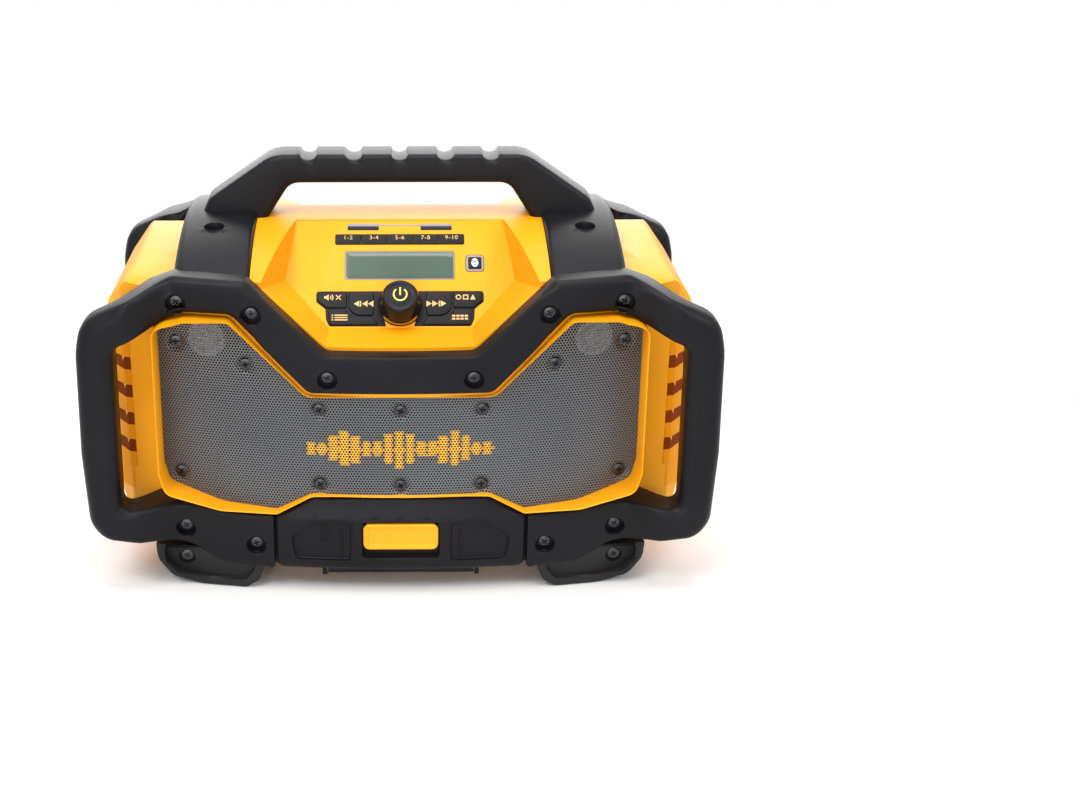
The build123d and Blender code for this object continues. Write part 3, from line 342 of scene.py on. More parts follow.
def insideOf(points, line):
    # true where a point lies inside a closed line: its ray to the right crosses an odd number of runs
    a, b = line, np.roll(line, -1, 0)
    x, y = points[:, :1], points[:, 1:]
    rise = np.where(np.abs(b[:, 1] - a[:, 1]) < 1e-12, 1e-12, b[:, 1] - a[:, 1])
    hit = ((a[:, 1] > y) != (b[:, 1] > y)) & (x < a[:, 0] + (b[:, 0] - a[:, 0]) * (y - a[:, 1]) / rise)
    return hit.sum(1) % 2 == 1


def insideRegion(points, loops):
    # inside the first loop and outside the others
    keep = insideOf(points, loops[0])
    for hole in loops[1:]:
        keep &= ~insideOf(points, hole)
    return keep


def capBetween(loops, cell):
    # triangles of a flat region inside the first loop and outside the others, with a square grid of
    # extra points; returns the extra points and the triangles over loops + extra points
    rim = np.concatenate(loops)
    spans = zip(loops[0].min(0), loops[0].max(0))
    u, v = np.meshgrid(*(np.arange(low + cell / 2, high, cell) for low, high in spans))
    extra = np.column_stack((u.ravel(), v.ravel()))
    extra = extra[insideRegion(extra, loops)]
    if len(extra):
        near = np.min(np.linalg.norm(extra[:, None] - rim[None], axis=2), axis=1)
        extra = extra[near > cell * 0.45]
    points = np.concatenate((rim, extra))
    edges, start = [], 0
    for loop in loops:
        ids = np.arange(len(loop)) + start
        edges += np.column_stack((ids, np.roll(ids, -1))).tolist()
        start += len(loop)
    made = geometry.delaunay_2d_cdt([Vector(p) for p in points], edges, [], 0, 1e-6)
    source = [o[0] if o else -1 for o in made[3]]
    faces = np.array([[source[i] for i in f] for f in made[2] if len(f) == 3])
    faces = faces[(faces >= 0).all(1)]
    return extra, faces[insideRegion(points[faces].mean(1), loops)]


def band(first, second, count):
    # quads between two closed rows of vertices whose numbers start at first and second
    i = np.arange(count)
    j = (i + 1) % count
    return np.column_stack((first + i, first + j, second + j, second + i))


def tubeFaces(rows, columns):
    # quads between rows of points that each close round
    return np.concatenate([band(k * columns, (k + 1) * columns, columns) for k in range(rows - 1)])


def tubeEnds(rows, columns):
    # one face over the first row and one over the last
    return np.array([range(columns), range((rows - 1) * columns, rows * columns)])


def putMesh(name, points, faces, material, angle, recalc):
    # mesh object at the origin from millimetre points; edges sharper than angle stay sharp
    mesh = bpy.data.meshes.new(name)
    mesh.from_pydata((points * mm).tolist(), [], [face for rows in faces for face in rows.tolist()])
    mesh.validate()
    if recalc:
        work = bmesh.new()
        work.from_mesh(mesh)
        bmesh.ops.remove_doubles(work, verts=work.verts, dist=1e-6)
        bmesh.ops.holes_fill(work, edges=[e for e in work.edges if e.is_boundary], sides=10)
        bmesh.ops.recalc_face_normals(work, faces=work.faces)
        work.to_mesh(mesh)
        work.free()
    mesh.shade_smooth()
    mesh.set_sharp_from_angle(angle=math.radians(angle))
    mesh.materials.append(material)
    return newObject(name, mesh)


def settle(piece, body, slot, *replaced):
    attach(piece, body)
    if replaced:
        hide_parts(*replaced)
    return piece


def addPiece(name, part, material, body, slot, *replaced, angle=38.0, recalc=True):
    return settle(putMesh(name, *part, material, angle, recalc), body, slot, *replaced)


def bodyOf(node):
    return nodes[node]["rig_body"]


# places: (u, v, depth into the piece) to x, y, z in millimetres
def facingFront(u, v, w):
    return np.column_stack((u, w, v))


def facingBack(u, v, w):
    return np.column_stack((u, -w, v))


def facingUp(u, v, w):
    return np.column_stack((u, v, -w))


def facingLeft(u, v, w):
    return np.column_stack((w, u, v))


lean = math.radians(49.0)       # the control deck's slope
deckOrigin = np.array((0.0, -56.0, 224.6))
deckUp = np.array((0.0, math.cos(lean), math.sin(lean)))
deckOut = np.array((0.0, -math.sin(lean), math.cos(lean)))


def onDeck(u, v, w):
    # deck coordinates: u to the right, v up the slope, w down into the deck
    return deckOrigin + np.outer(u, (1, 0, 0)) + np.outer(v, deckUp) - np.outer(w, deckOut)


def quarterRound(steps):
    # (inset, depth) pairs of a quarter circle of radius 1: the inset falls to nothing as the depth grows
    return [(1 - math.sin(t), 1 - math.cos(t)) for t in np.linspace(0, math.pi / 2, steps + 1)]


def plateParts(outline, front, back, edge, backEdge, holes=(), cell=8.0, place=facingFront, steps=5,
               deep=None):
    # plate between two surfaces w = front(u, v) and w = back(u, v); its outline turns over in a quarter
    # round of radius edge at the front and backEdge at the back; a hole is (line, rings), where rings
    # are (grow, depth) pairs from the front surface inwards; a last depth of None is the back surface,
    # and any other closes the hole as a pocket whose floor follows the front
    count = len(outline)
    edge = np.broadcast_to(np.asarray(edge, float), count)
    backEdge = np.broadcast_to(np.asarray(backEdge, float), count)
    deep = edge if deep is None else deep
    points = []
    for share, depth in quarterRound(steps):
        line = inset(outline, edge * share)
        points.append(np.column_stack((line, front(*line.T) + deep * depth)))
    for share, depth in reversed(quarterRound(steps)):
        line = inset(outline, backEdge * share)
        points.append(np.column_stack((line, back(*line.T) - backEdge * depth)))
    faces = [band(k * count, (k + 1) * count, count) for k in range(len(points) - 1)]
    total = count * len(points)
    frontLoops, backLoops = [(points[0][:, :2], 0)], [(points[-1][:, :2], total - count)]
    for line, rings in holes:
        middle = line.mean(0)
        base = float(front(middle[:1], middle[1:])[0])
        through = rings[-1][1] is None
        for k, (grow, depth) in enumerate(rings):
            ring = inset(line, -grow)
            if depth is None:
                w = back(*ring.T)
            elif k == 0 or not through:
                w = front(*ring.T) + depth
            else:
                w = np.full(len(ring), base + depth)
            points.append(np.column_stack((ring, w)))
            if k:
                faces.append(band(total - len(ring), total, len(ring)))
            else:
                frontLoops.append((ring, total))
            total += len(ring)
        if through:
            backLoops.append((ring, total - len(ring)))
        else:
            extra, triangles = capBetween([ring], cell)
            points.append(np.column_stack((extra, front(*extra.T) + depth)))
            faces.append(triangles + total - len(ring))
            total += len(extra)
    for loops, surface in ((frontLoops, front), (backLoops, back)):
        extra, triangles = capBetween([ring for ring, _ in loops], cell)
        ids = [start + np.arange(len(ring)) for ring, start in loops] + [total + np.arange(len(extra))]
        if len(extra):
            points.append(np.column_stack((extra, surface(*extra.T))))
        faces.append(np.concatenate(ids)[triangles])
        total += len(extra)
    return place(*np.concatenate(points).T), faces


def joined(parts):
    # one points array and face list from several (points, faces) parts
    points, faces, start = [], [], 0
    for p, f in parts:
        points.append(p)
        faces += [rows + start for rows in f]
        start += len(p)
    return np.concatenate(points), faces


def mirrored(part):
    # the part's left-hand twin; putMesh turns its faces outwards again
    points, faces = part
    return points * (-1, 1, 1), faces


def turnedBack(part):
    # the part's twin at the back
    points, faces = part
    return points * (1, -1, 1), faces


def flat(value):
    # plane surface for plateParts
    return lambda u, v: np.full(np.shape(u), float(value))


def turned(profile, centre, axis, count=32):
    # solid of revolution: profile (radius, height) pairs carried round the axis through centre
    axis = unit(np.array(axis, float))
    side = unit(np.cross(axis, (0.31, 0.47, 0.83)))
    other = np.cross(axis, side)
    profile = np.array(profile, float)
    a = np.linspace(0, 2 * math.pi, count, endpoint=False)
    ring = np.cos(a)[:, None] * side + np.sin(a)[:, None] * other
    points = np.array(centre, float) + profile[:, None, :1] * ring[None] + profile[:, 1:, None] * axis
    return points.reshape(-1, 3), [tubeFaces(len(profile), count)]


def arcThrough(side, sideY, middleY):
    # y of the arc in plan through (-side, sideY), (0, middleY) and (side, sideY)
    rise = sideY - middleY
    radius = (side * side + rise * rise) / (2 * rise)
    return lambda x: middleY + radius - np.sqrt(np.maximum(radius * radius - x * x, 1.0))


# the two bumper cages: corners are (x, z, radius), edges are radii
cage = {"front": -135.0, "bow": 0.00062, "rollStart": 164.0, "loopStart": 200.0, "loopBack": -105.0,
        "wall": -119.0, "wallSide": (184.0, -90.0), "backRoll": (182.0, 18.0),
        "edge": 4.5, "loopEdge": 9.5, "loopAt": (196.0, 40.0), "loopFade": 14.0,
        "rimAt": (224.0, 236.0), "rimEdge": 6.5, "backEdge": 0.6, "loopBackEdge": 8.0,
        "chinEdge": 5.0, "chinDepth": 14.0, "chinSide": 116.0, "chinFade": 8.0,
        "chinFoot": (54.5, 180.0), "chinSlope": 0.968, "endEdge": 1.6, "endAt": 98.5, "endFade": 9.0,
        "rail": (97.0, 21.0, 63.0, 1.0), "railFront": -131.0, "railBack": -119.2, "railEdge": 2.5,
        "screws": [(163, 229.2), (108, 223), (53.6, 175), (164, 49.4), (110, 38.6)],
        "outer": [(96, 19.5, 3), (136, 22, 12), (158, 34, 12), (190, 42, 30), (234, 46.5, 21),
                  (237.5, 115, 60), (236, 196, 60), (231, 219, 22), (165, 249, 12),
                  (111, 247.5, 10), (54.5, 192.8, 12)],
        "inner": [(67.5, 164.6, 10), (123, 222.4, 12), (160, 222.4, 14), (208.6, 198, 11),
                  (210, 69.9, 7), (162, 70.6, 6), (136, 66.7, 14), (96, 63.9, 2)]}
screwBore = {"radius": 7.0, "depth": 7.0, "shank": 2.2, "lip": [(0.9, 0), (0.35, 0.15), (0, 0.7)]}
wallArc = arcThrough(*cage["wallSide"], cage["wall"])


def bowedFront(x):
    # a parabola in plan
    return cage["front"] + cage["bow"] * x * x


def cageFront(x, z):
    # bowed in the middle, rolling forward to the straight grab loops at the sides
    a = np.abs(x)
    roll = smooth((a - cage["rollStart"]) / (cage["loopStart"] - cage["rollStart"]))
    return bowedFront(a) * (1 - roll) + cage["front"] * roll


def cageBack(x, z):
    # seated on the housing's bowed wall, then rolling out to the back of the loops
    a = np.abs(x)
    start, reach = cage["backRoll"]
    roll = smooth((a - start) / reach)
    return wallArc(np.minimum(a, cage["wallSide"][0])) * (1 - roll) + cage["loopBack"] * roll


def cageEdges(line):
    # front and back edge radii along the outline: round loops, a broad bevel over the chin, which is the
    # slanted edge below the deck, and small edges where the lower bar's ends meet the door
    x, z = np.abs(line[:, 0]), line[:, 1]
    (loopX, loopZ), fade = cage["loopAt"], cage["loopFade"]
    loop = smooth((x - loopX) / fade) * smooth((z - loopZ) / fade)
    outside = (x > cage["rimAt"][0]) | (z > cage["rimAt"][1])
    footX, footZ = cage["chinFoot"]
    above = z > footZ + cage["chinSlope"] * np.maximum(x - footX, 0)
    chin = smooth((cage["chinSide"] - x) / cage["chinFade"]) * above
    edge = cage["edge"] + (cage["loopEdge"] - cage["edge"]) * loop
    edge = np.where(outside, np.maximum(edge, cage["rimEdge"]), edge)
    edge = np.where(chin > 0, edge + (cage["chinEdge"] - edge) * chin, edge)
    deep = edge + (cage["chinDepth"] - edge) * chin
    small = cage["endEdge"]
    end = smooth((x - cage["endAt"]) / cage["endFade"])
    return (small + (edge - small) * end, small + (deep - small) * end,
            cage["backEdge"] + cage["loopBackEdge"] * loop)


def counterbore(x, z, radius=screwBore["radius"], depth=screwBore["depth"], shank=screwBore["shank"]):
    # soft lip, straight wall, flat floor and the shank's hole through to the back
    rings = screwBore["lip"] + [(0, depth), (shank - radius, depth), (shank - radius, None)]
    return circle(x, z, radius), rings


def makeCage(name, turn):
    # one closed line runs along the outer corners and back along the inner ones; the rear cage is the
    # same part turned, with a plain rail where the front has its door
    line = roundedLine(cage["outer"] + turnedOver(cage["outer"]) + turnedOver(cage["inner"]) + cage["inner"],
                       runStep=6.0)
    edge, deep, backEdge = cageEdges(line)
    holes = [counterbore(side * x, z) for x, z in cage["screws"] for side in (-1, 1)]
    part = plateParts(line, cageFront, cageBack, edge, backEdge, holes, cell=6.0, steps=6, deep=deep)
    if turn:
        half, low, high, r = cage["rail"]
        rail = plateParts(rectangleLine(-half, half, low, high, r), flat(cage["railFront"]),
                          flat(cage["railBack"]), cage["railEdge"], 0.5, place=facingBack)
        part = joined([turnedBack(part), rail])
    addPiece(name + "Shell", part, black, "radio", "black_shell", name)


makeCage("front_cage", False)
makeCage("rear_cage", True)
print("cages")


grille = {"front": -129.0, "bow": 0.00087, "proud": 1.2, "trim": 2.5, "trimMore": 2.2, "trimFade": (174, 110),
          "pitch": 2.3, "hole": 0.88, "thick": 1.1, "dimple": 2.4, "dimpleReach": 8.5, "head": 4.6,
          "middle": 142.0, "under": 0.4, "thirds": (-62, 62),
          "lip": [(1.7, 0), (0.9, 0.3), (0.3, 0.9), (0, 1.8), (0, None)],
          "outline": [(0, 78.8, 0), (66.3, 78.8, 8), (93, 64.3, 8), (136, 67.4, 30), (178, 81, 12),
                      (182.5, 98, 10), (182, 212.5, 9), (160, 222.4, 14),
                      (123, 222.4, 12), (67.5, 164.6, 10), (0, 164.6, 0)],
          "screws": [(166, 195.4), (114, 181.7), (60.4, 148.7), (60.5, 88.3), (167, 90.4)],
          "middleScrews": [(0, 148.7), (0, 88.3)]}
grilleScrews = [(side * x, z) for x, z in grille["screws"] for side in (-1, 1)] + grille["middleScrews"]
trimLine = roundedLine(bothSides(grille["outline"]), runStep=5.0)


def grilleFront(x, z):
    # a steeper parabola than the cage's, so that the grille falls back behind it at the sides
    return grille["front"] + grille["bow"] * x * x


def makeTrim():
    # two rounded lips: the ring between the outline and the same outline moved in, further at the flanks
    # of the V than at its sides and foot
    x, z = np.abs(trimLine[:, 0]), trimLine[:, 1]
    side, foot = grille["trimFade"]
    more = grille["trimMore"] * smooth((side - x) / 10) * smooth((z - foot) / 20)
    inner = inset(trimLine, grille["trim"] + more)
    part = plateParts(trimLine, lambda x, z: grilleFront(x, z) - grille["proud"], lambda x, z: wallArc(x),
                      1.9, 0.3, [(inner, grille["lip"])], cell=40, steps=4)
    addPiece("trimRing", part, yellow, "radio", "yellow_shell", "grille_trim", angle=60)


makeTrim()

motif = {"half": 69.7, "pitch": 8.2, "bar": 6.2, "level": 118.6, "rule": 1.1,
         "height": 9.6, "wave": (4.6, 1.25), "ripple": (0.8, 0.5), "centre": 8}


def motifAt(x, z):
    # true where the painted motif is: a row of level bars on one thin rule, the bars' heights being
    # a constant and two cosines of the bar's number
    half, level = motif["half"], motif["level"]
    column = np.floor((x + half) / motif["pitch"]) - motif["centre"]
    inside = np.abs(x) < half
    height = motif["height"]
    for swing, speed in (motif["wave"], motif["ripple"]):
        height = height + swing * np.cos(column * speed)
    bars = inside & ((x + half) % motif["pitch"] < motif["bar"]) & (np.abs(z - level) < height)
    return bars | (inside & (np.abs(z - level) < motif["rule"]))


def cellMiddles():
    # staggered rows over the whole front, kept inside the trim and clear of the screws' heads
    dx, dz = grille["pitch"], grille["pitch"] * math.sqrt(3) / 2
    r, c = np.meshgrid(np.arange(-60, 60), np.arange(-85, 86), indexing="ij")
    middles = np.column_stack(((c * dx + (r % 2) * dx / 2).ravel(), (grille["middle"] + r * dz).ravel()))
    keep = insideOf(middles, inset(trimLine, grille["trim"] - grille["under"]))
    for x, z in grilleScrews:
        keep &= np.hypot(middles[:, 0] - x, middles[:, 1] - z) > grille["head"]
    return middles[keep]


def makeGrille():
    # hexagonal cells, each with a six-sided hole: corner k of a cell stands at angle 60k + 30 about its
    # middle; y follows the bow and sinks in a dish round each screw
    middles = cellMiddles()
    angles = np.radians(60 * np.arange(6) + 30)
    corner = np.column_stack((np.cos(angles), np.sin(angles)))
    cells = middles[:, None, :] + corner[None] * grille["pitch"] / math.sqrt(3)
    holes = middles[:, None, :] + corner[None] * grille["hole"]
    x, z = np.stack((cells, holes), 1).reshape(-1, 2).T
    y = grilleFront(x, z)
    for sx, sz in grilleScrews:
        reach = np.hypot(x - sx, z - sz) - grille["head"]
        y = y + grille["dimple"] * (1 - smooth(reach / (grille["dimpleReach"] - grille["head"])))
    front = np.column_stack((x, y, z)).reshape(-1, 12, 3)
    points = np.concatenate((front, front[:, 6:] + (0, grille["thick"], 0)), 1)
    cellFaces = np.concatenate((band(0, 6, 6), band(6, 12, 6)))
    print("grille holes", len(middles))
    thirds = np.digitize(middles[:, 0], grille["thirds"])
    for number, label in enumerate(("Left", "Middle", "Right")):
        chosen = points[thirds == number]
        gold = motifAt(*middles[thirds == number].T)
        faces = (cellFaces[None] + 18 * np.arange(len(chosen))[:, None, None]).reshape(-1, 4)
        replaced = ["speaker_grille"] if label == "Middle" else []
        piece = addPiece("grille" + label, (chosen.reshape(-1, 3), [faces]), steelPaint, "radio",
                         "grille_steel", *replaced, recalc=False)
        paint = piece.data.attributes.new("paint", "FLOAT", "FACE")
        paint.data.foreach_set("value", np.repeat(gold, len(cellFaces)).astype(np.float32))


makeGrille()
print("grille and trim")


# nodes whose own shape is right: width of the round on their edges, and of the round on the deck's creases
edgeRound = {"front_housing": 1.6, "rear_housing": 1.6, "battery_bay": 0.6, "storage_bin": 0.6,
             "port_panel": 0.4, "socket_plate": 0.8, "outlets": 0.5, "outlet_cover_lower": 0.8,
             "outlet_cover_upper": 0.8, "battery_door": 1.0, "battery_latch": 0.5,
             "cord_hooks": 1.5, "plug_clip": 0.8, "cord_gland": 1.2}
creaseRound = {"front_housing": 9.0, "rear_housing": 9.0}
crease = {"x": (60, 112), "z": (215, 262), "y": (-112, 112), "turn": (40, 85), "length": 12}


def isCrease(edge):
    # long creases where the deck's channel meets the shell
    a, b = (v.co / mm for v in edge.verts)
    middle = (a + b) / 2
    turn = math.degrees(edge.calc_face_angle(0))
    tests = ((abs(middle.x), "x"), (middle.z, "z"), (middle.y, "y"), (turn, "turn"))
    inside = all(crease[key][0] < value < crease[key][1] for value, key in tests)
    return inside and (a - b).length > crease["length"]


def softened(name, width, creases, steps=2, angle=28.0):
    # copy of a node with doubles merged, flat triangles joined, and every edge sharper than angle turned
    # over in a small round
    source = nodes[name]
    mesh = source.data.copy()
    work = bmesh.new()
    work.from_mesh(mesh)
    bmesh.ops.remove_doubles(work, verts=work.verts, dist=2e-6)
    bmesh.ops.dissolve_limit(work, angle_limit=math.radians(0.6), verts=work.verts, edges=work.edges)
    if creases:
        bmesh.ops.bevel(work, geom=[e for e in work.edges if isCrease(e)], offset=creases * mm, segments=5,
                        profile=0.5, affect="EDGES", clamp_overlap=True)
    work.to_mesh(mesh)
    work.free()
    mesh.materials.clear()
    mesh.materials.append(finishes[slotOf[name]])
    piece = newObject(name + "Shell", mesh)
    bevel = piece.modifiers.new("edges", "BEVEL")
    bevel.limit_method = "ANGLE"
    bevel.angle_limit = math.radians(angle)
    bevel.width = width * mm
    bevel.segments = steps
    bevel.use_clamp_overlap = True
    mesh.shade_smooth()
    mesh.set_sharp_from_angle(angle=math.radians(angle))
    bevel.harden_normals = True
    settle(piece, source["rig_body"], slotOf[name], name)


for name, width in edgeRound.items():
    softened(name, width, creaseRound.get(name, 0.0))
print("softened nodes")


strap = {"inside": 110.0, "outside": 166.0, "reach": 113.0, "end": 243.0, "crest": 271.0, "lap": 0.3,
         "underEnd": 225.0, "underCrest": 247.0, "edge": 3.5, "outerEdge": 8.0, "endEdge": 1.5,
         "bolt": (140.0, 47.0), "boltHole": 7.5, "boltFloor": 257.0, "boltStep": 4.3}


def strapPart(side):
    # arched plate seen from above: both faces are arcs in y, the outer edge is broadly rounded
    low, high = sorted((side * strap["inside"], side * strap["outside"]))
    reach = strap["reach"]
    line = rectangleLine(low, high, -reach, reach, 2, runStep=6)
    over = arcThrough(reach, -strap["end"], -strap["crest"])
    under = arcThrough(reach, -strap["underEnd"], -strap["underCrest"])
    edge = np.where(np.abs(line[:, 0]) > strap["outside"] - 0.5, strap["outerEdge"], strap["edge"])
    edge = np.where(np.abs(line[:, 1]) > reach - 0.5, strap["endEdge"], edge)
    holes = []
    x, boltY = strap["bolt"]
    for y in (-boltY, boltY):
        depth = -strap["boltFloor"] - over(np.array([y]))[0]
        rings = [(0.5, 0), (0, 0.5), (0, depth), (-strap["boltStep"], depth), (-strap["boltStep"], None)]
        holes.append((circle(side * x, y, strap["boltHole"]), rings))
    return plateParts(line, lambda u, v: over(v), lambda u, v: under(v) - strap["lap"], edge, 0.4, holes,
                      cell=7.0, place=facingUp)


for name, side in (("left_shoulder", -1), ("right_shoulder", 1)):
    addPiece(name + "Shell", strapPart(side), black, "radio", "black_shell", name)


# right leg's outer and inner corners as (x, z), with the rounds of those between the ends
handle = {"depth": 18.0, "edge": 5.5, "notch": 4.3, "notchHalf": 6.4, "pitch": 35.0, "topStations": 140,
          "outer": [(157, 257.5), (147, 279.5), (97, 314)], "outerRound": (14.0, 28.0), "outerTop": 70,
          "inner": [(106, 257.5), (84, 292)], "innerRound": (14.0,), "innerTop": 60,
          "notchAbove": (300, 9)}


def bentLine(corners, rounds, count):
    # open line whose corners are rounded by parabolas between their tangent points, resampled at equal
    # distances
    corners = [np.array(corner, float) for corner in corners]
    path = [corners[0][None]]
    for before, here, after, r in zip(corners, corners[1:], corners[2:], rounds):
        a, b = unit(before - here), unit(after - here)
        cut = r / math.tan(math.acos(a @ b) / 2)
        t = np.linspace(0, 1, 12)[:, None]
        start, end = here + a * cut, here + b * cut
        path.append(start * (1 - t) ** 2 + 2 * here * t * (1 - t) + end * t ** 2)
    path = np.concatenate(path + [corners[-1][None]])
    far = np.concatenate(([0], np.cumsum(np.linalg.norm(np.diff(path, axis=0), axis=1))))
    s = np.linspace(0, far[-1], count)
    return np.column_stack((np.interp(s, far, path[:, 0]), np.interp(s, far, path[:, 1])))


def archLine(corners, rounds, top):
    # right leg, level top between the ends at top - 1 on both sides, and the mirrored leg
    level = float(corners[-1][1])
    leg = bentLine(corners + [(top, level)], rounds, 70)
    x = np.linspace(1, -1, handle["topStations"]) * (top - 1)
    return np.concatenate((leg, np.column_stack((x, np.full(len(x), level))), leg[::-1] * (-1, 1)))


def sectionRing(half, depth, radius, corner=6):
    # rounded rectangle at each station: half across, depth front to back, a quarter circle at each corner
    a = np.linspace(0, math.pi / 2, corner)
    across, deep = [], []
    for k, (sx, sy) in enumerate([(1, 1), (-1, 1), (-1, -1), (1, -1)]):
        turn = a + k * math.pi / 2
        across.append(sx * (half[:, None] - radius) + radius * np.cos(turn)[None])
        deep.append(np.broadcast_to(sy * (depth - radius) + radius * np.sin(turn)[None], across[-1].shape))
    return np.concatenate(across, 1), np.concatenate(deep, 1)


def makeHandle():
    # rounded rectangle carried along the arch between its outer and inner lines, with grooves pressed
    # into the top: half an ellipse in x
    outer = archLine(handle["outer"], handle["outerRound"], handle["outerTop"])
    inner = archLine(handle["inner"], handle["innerRound"], handle["innerTop"])
    middle, half = (outer + inner) / 2, np.linalg.norm(outer - inner, axis=1) / 2
    across, deep = sectionRing(half, handle["depth"], handle["edge"])
    aim = unit(outer - inner)
    x = middle[:, :1] + aim[:, :1] * across
    z = middle[:, 1:] + aim[:, 1:] * across
    pitch = handle["pitch"]
    near = np.abs((x + pitch / 2) % pitch - pitch / 2)
    groove = np.sqrt(np.clip(1 - (near / handle["notchHalf"]) ** 2, 0, 1)) * (np.abs(x) < 2.5 * pitch)
    foot, fade = handle["notchAbove"]
    z = z - handle["notch"] * groove * smooth((z - foot) / fade)
    points = np.stack((x, deep, z), -1).reshape(-1, 3)
    faces = [tubeFaces(*across.shape), tubeEnds(*across.shape)]
    addPiece("top_handleShell", (points, faces), black, "radio", "black_shell", "top_handle", angle=45)


makeHandle()

foot = {"setback": 3.0, "back": -58.0, "edge": 3.0, "rimEdge": 2.6, "topEdge": 0.4, "hiddenAbove": 30,
        "sink": 3.4, "sinkBelow": 27, "sinkReach": 19.0, "floor": 0.5,
        "screws": [(165, 22.5)], "screwBack": -109.5, "screwHole": 6.0, "screwShank": 2.05,
        "lip": [(1.4, 0), (0.5, 0.35), (0, 1.2), (0, None)],
        "outline": [(104.4, 32, 1), (104.4, 19, 6), (109.5, 6, 6), (119, 0, 8), (152, 0, 50),
                    (177, 4.5, 14), (188.5, 18, 12), (189, 32, 1)],
        "inner": [(112.6, 31.6, 1), (113.2, 17, 4), (120, 8.2, 3), (151, 7.6, 20), (172, 10.6, 6),
                  (180.6, 20.5, 5), (181.2, 31.6, 1)]}


def footFront(x, z):
    # follows the cage's bow, a little behind it
    return bowedFront(x) + foot["setback"]


def footFloor(x, z):
    # panel inside the rim: flush high up, sinking towards the lower rim
    sunk = foot["sink"] * smooth((foot["sinkBelow"] - z) / foot["sinkReach"])
    return footFront(x, z) + foot["floor"] + sunk


def makeFeet():
    # a block with a sunk panel and a raised rim round it, mirrored for the left and turned for the back
    line = roundedLine(foot["outline"], runStep=5)
    hidden = line[:, 1] > foot["hiddenAbove"]
    edge = np.where(hidden, foot["topEdge"], foot["edge"])
    holes = [counterbore(x, z, foot["screwHole"], foot["screwBack"] - footFloor(x, z), foot["screwShank"])
             for x, z in foot["screws"]]
    base = plateParts(line, footFloor, flat(foot["back"]), edge, edge, holes, cell=5)
    inner = roundedLine(foot["inner"], runStep=4)
    rimEdge = np.where(hidden, foot["topEdge"], foot["rimEdge"])
    rim = plateParts(line, footFront, lambda x, z: footFloor(x, z) + 0.6, rimEdge, 0.1,
                     [(inner, foot["lip"])], cell=12)
    right = joined([base, rim])
    feet = joined([right, mirrored(right)])
    addPiece("front_feetShell", feet, rubber, "radio", "black_rubber", "front_feet")
    addPiece("rear_feetShell", turnedBack(feet), rubber, "radio", "black_rubber", "rear_feet")


makeFeet()
print("straps, handle and feet")


# front door: top, toe and flank say how far the face falls back, from where and over what length, going
# up, down and outwards
door = {"side": 94.0, "front": -134.4, "sideFront": -128.8, "back": -119.6, "backEdge": 0.8,
        "edge": (1.4, 1.2), "edgeFade": (93, 6.0), "top": (4.6, 63.0, 9.0), "toe": (2.2, -26.5, 7.0),
        "flank": (1.2, 86.0, 6.0),
        "outline": [(0, 19.5, 0), (91, 19.5, 4), (94, 23, 2), (94, 62.8, 2), (91.5, 63.9, 3), (66, 77.9, 6),
                    (0, 77.9, 0)],
        "pocket": [(38, 28.5, 3), (80, 28.5, 6), (82.5, 47, 3), (66, 60.5, 5), (38, 60.5, 3)],
        "pocketDepth": 3.2, "pocketLip": 1.5, "latchPocket": (29.2, 30.6, 60.8, 3), "latchDepth": 4.9,
        "frame": [(-36.2, 35.5, 2), (-30, 29.2, 2), (30, 29.2, 2), (36.2, 35.5, 2), (36.2, 63.2, 2),
                  (-36.2, 63.2, 2)],
        "frameRise": 0.55, "frameLow": 31.4, "frameLip": [(0.8, 0), (0.25, 0.25), (0, 0.8), (0, None)],
        "knuckle": [(1.66, 0), (3.3, 0), (3.3, 112), (1.66, 112), (1.66, 0)], "pin": (-56, -121, 15.6),
        "web": (-56, 56, 16, 22, 0.2), "webDepth": (-123, -119.6),
        "rib": (45.5, 1.0, 30, 53, 0.6), "ribRise": 1.2, "markRise": 0.5, "markFoot": 0.3,
        "marks": [(-62, -54, 55, 56), (-62, -54, 43, 44), (-61, -60, 45, 54), (-57.5, -56.5, 45, 54),
                  (-59.5, -58, 46.5, 48), (-59.5, -58, 51, 52.5), (-55.5, -54.5, 45, 54)]}
doorArc = arcThrough(door["side"], door["sideFront"], door["front"])


def doorFront(x, z):
    # bowed face whose top rolls back above the ridge, whose foot rolls back near the floor and whose
    # flanks fall off a little
    y = doorArc(np.abs(x))
    for (fall, start, reach), way in ((door["top"], z), (door["toe"], -z), (door["flank"], np.abs(x))):
        y = y + fall * smooth((way - start) / reach)
    return y


def pocketRings(depth, lip=1.0):
    # soft lip, straight wall and a small round at the floor
    return [(lip, 0), (lip * 0.3, 0.25), (0, lip), (0, depth - 0.6), (-0.6, depth)]


def doorMark(line, rise, edge, steps):
    # raised mark that stands on the pocket's floor
    def floor(x, z, lift):
        return doorFront(x, z) + door["pocketDepth"] + lift

    return plateParts(line, lambda x, z: floor(x, z, -rise), lambda x, z: floor(x, z, door["markFoot"]),
                      edge, 0.1, cell=9, steps=steps)


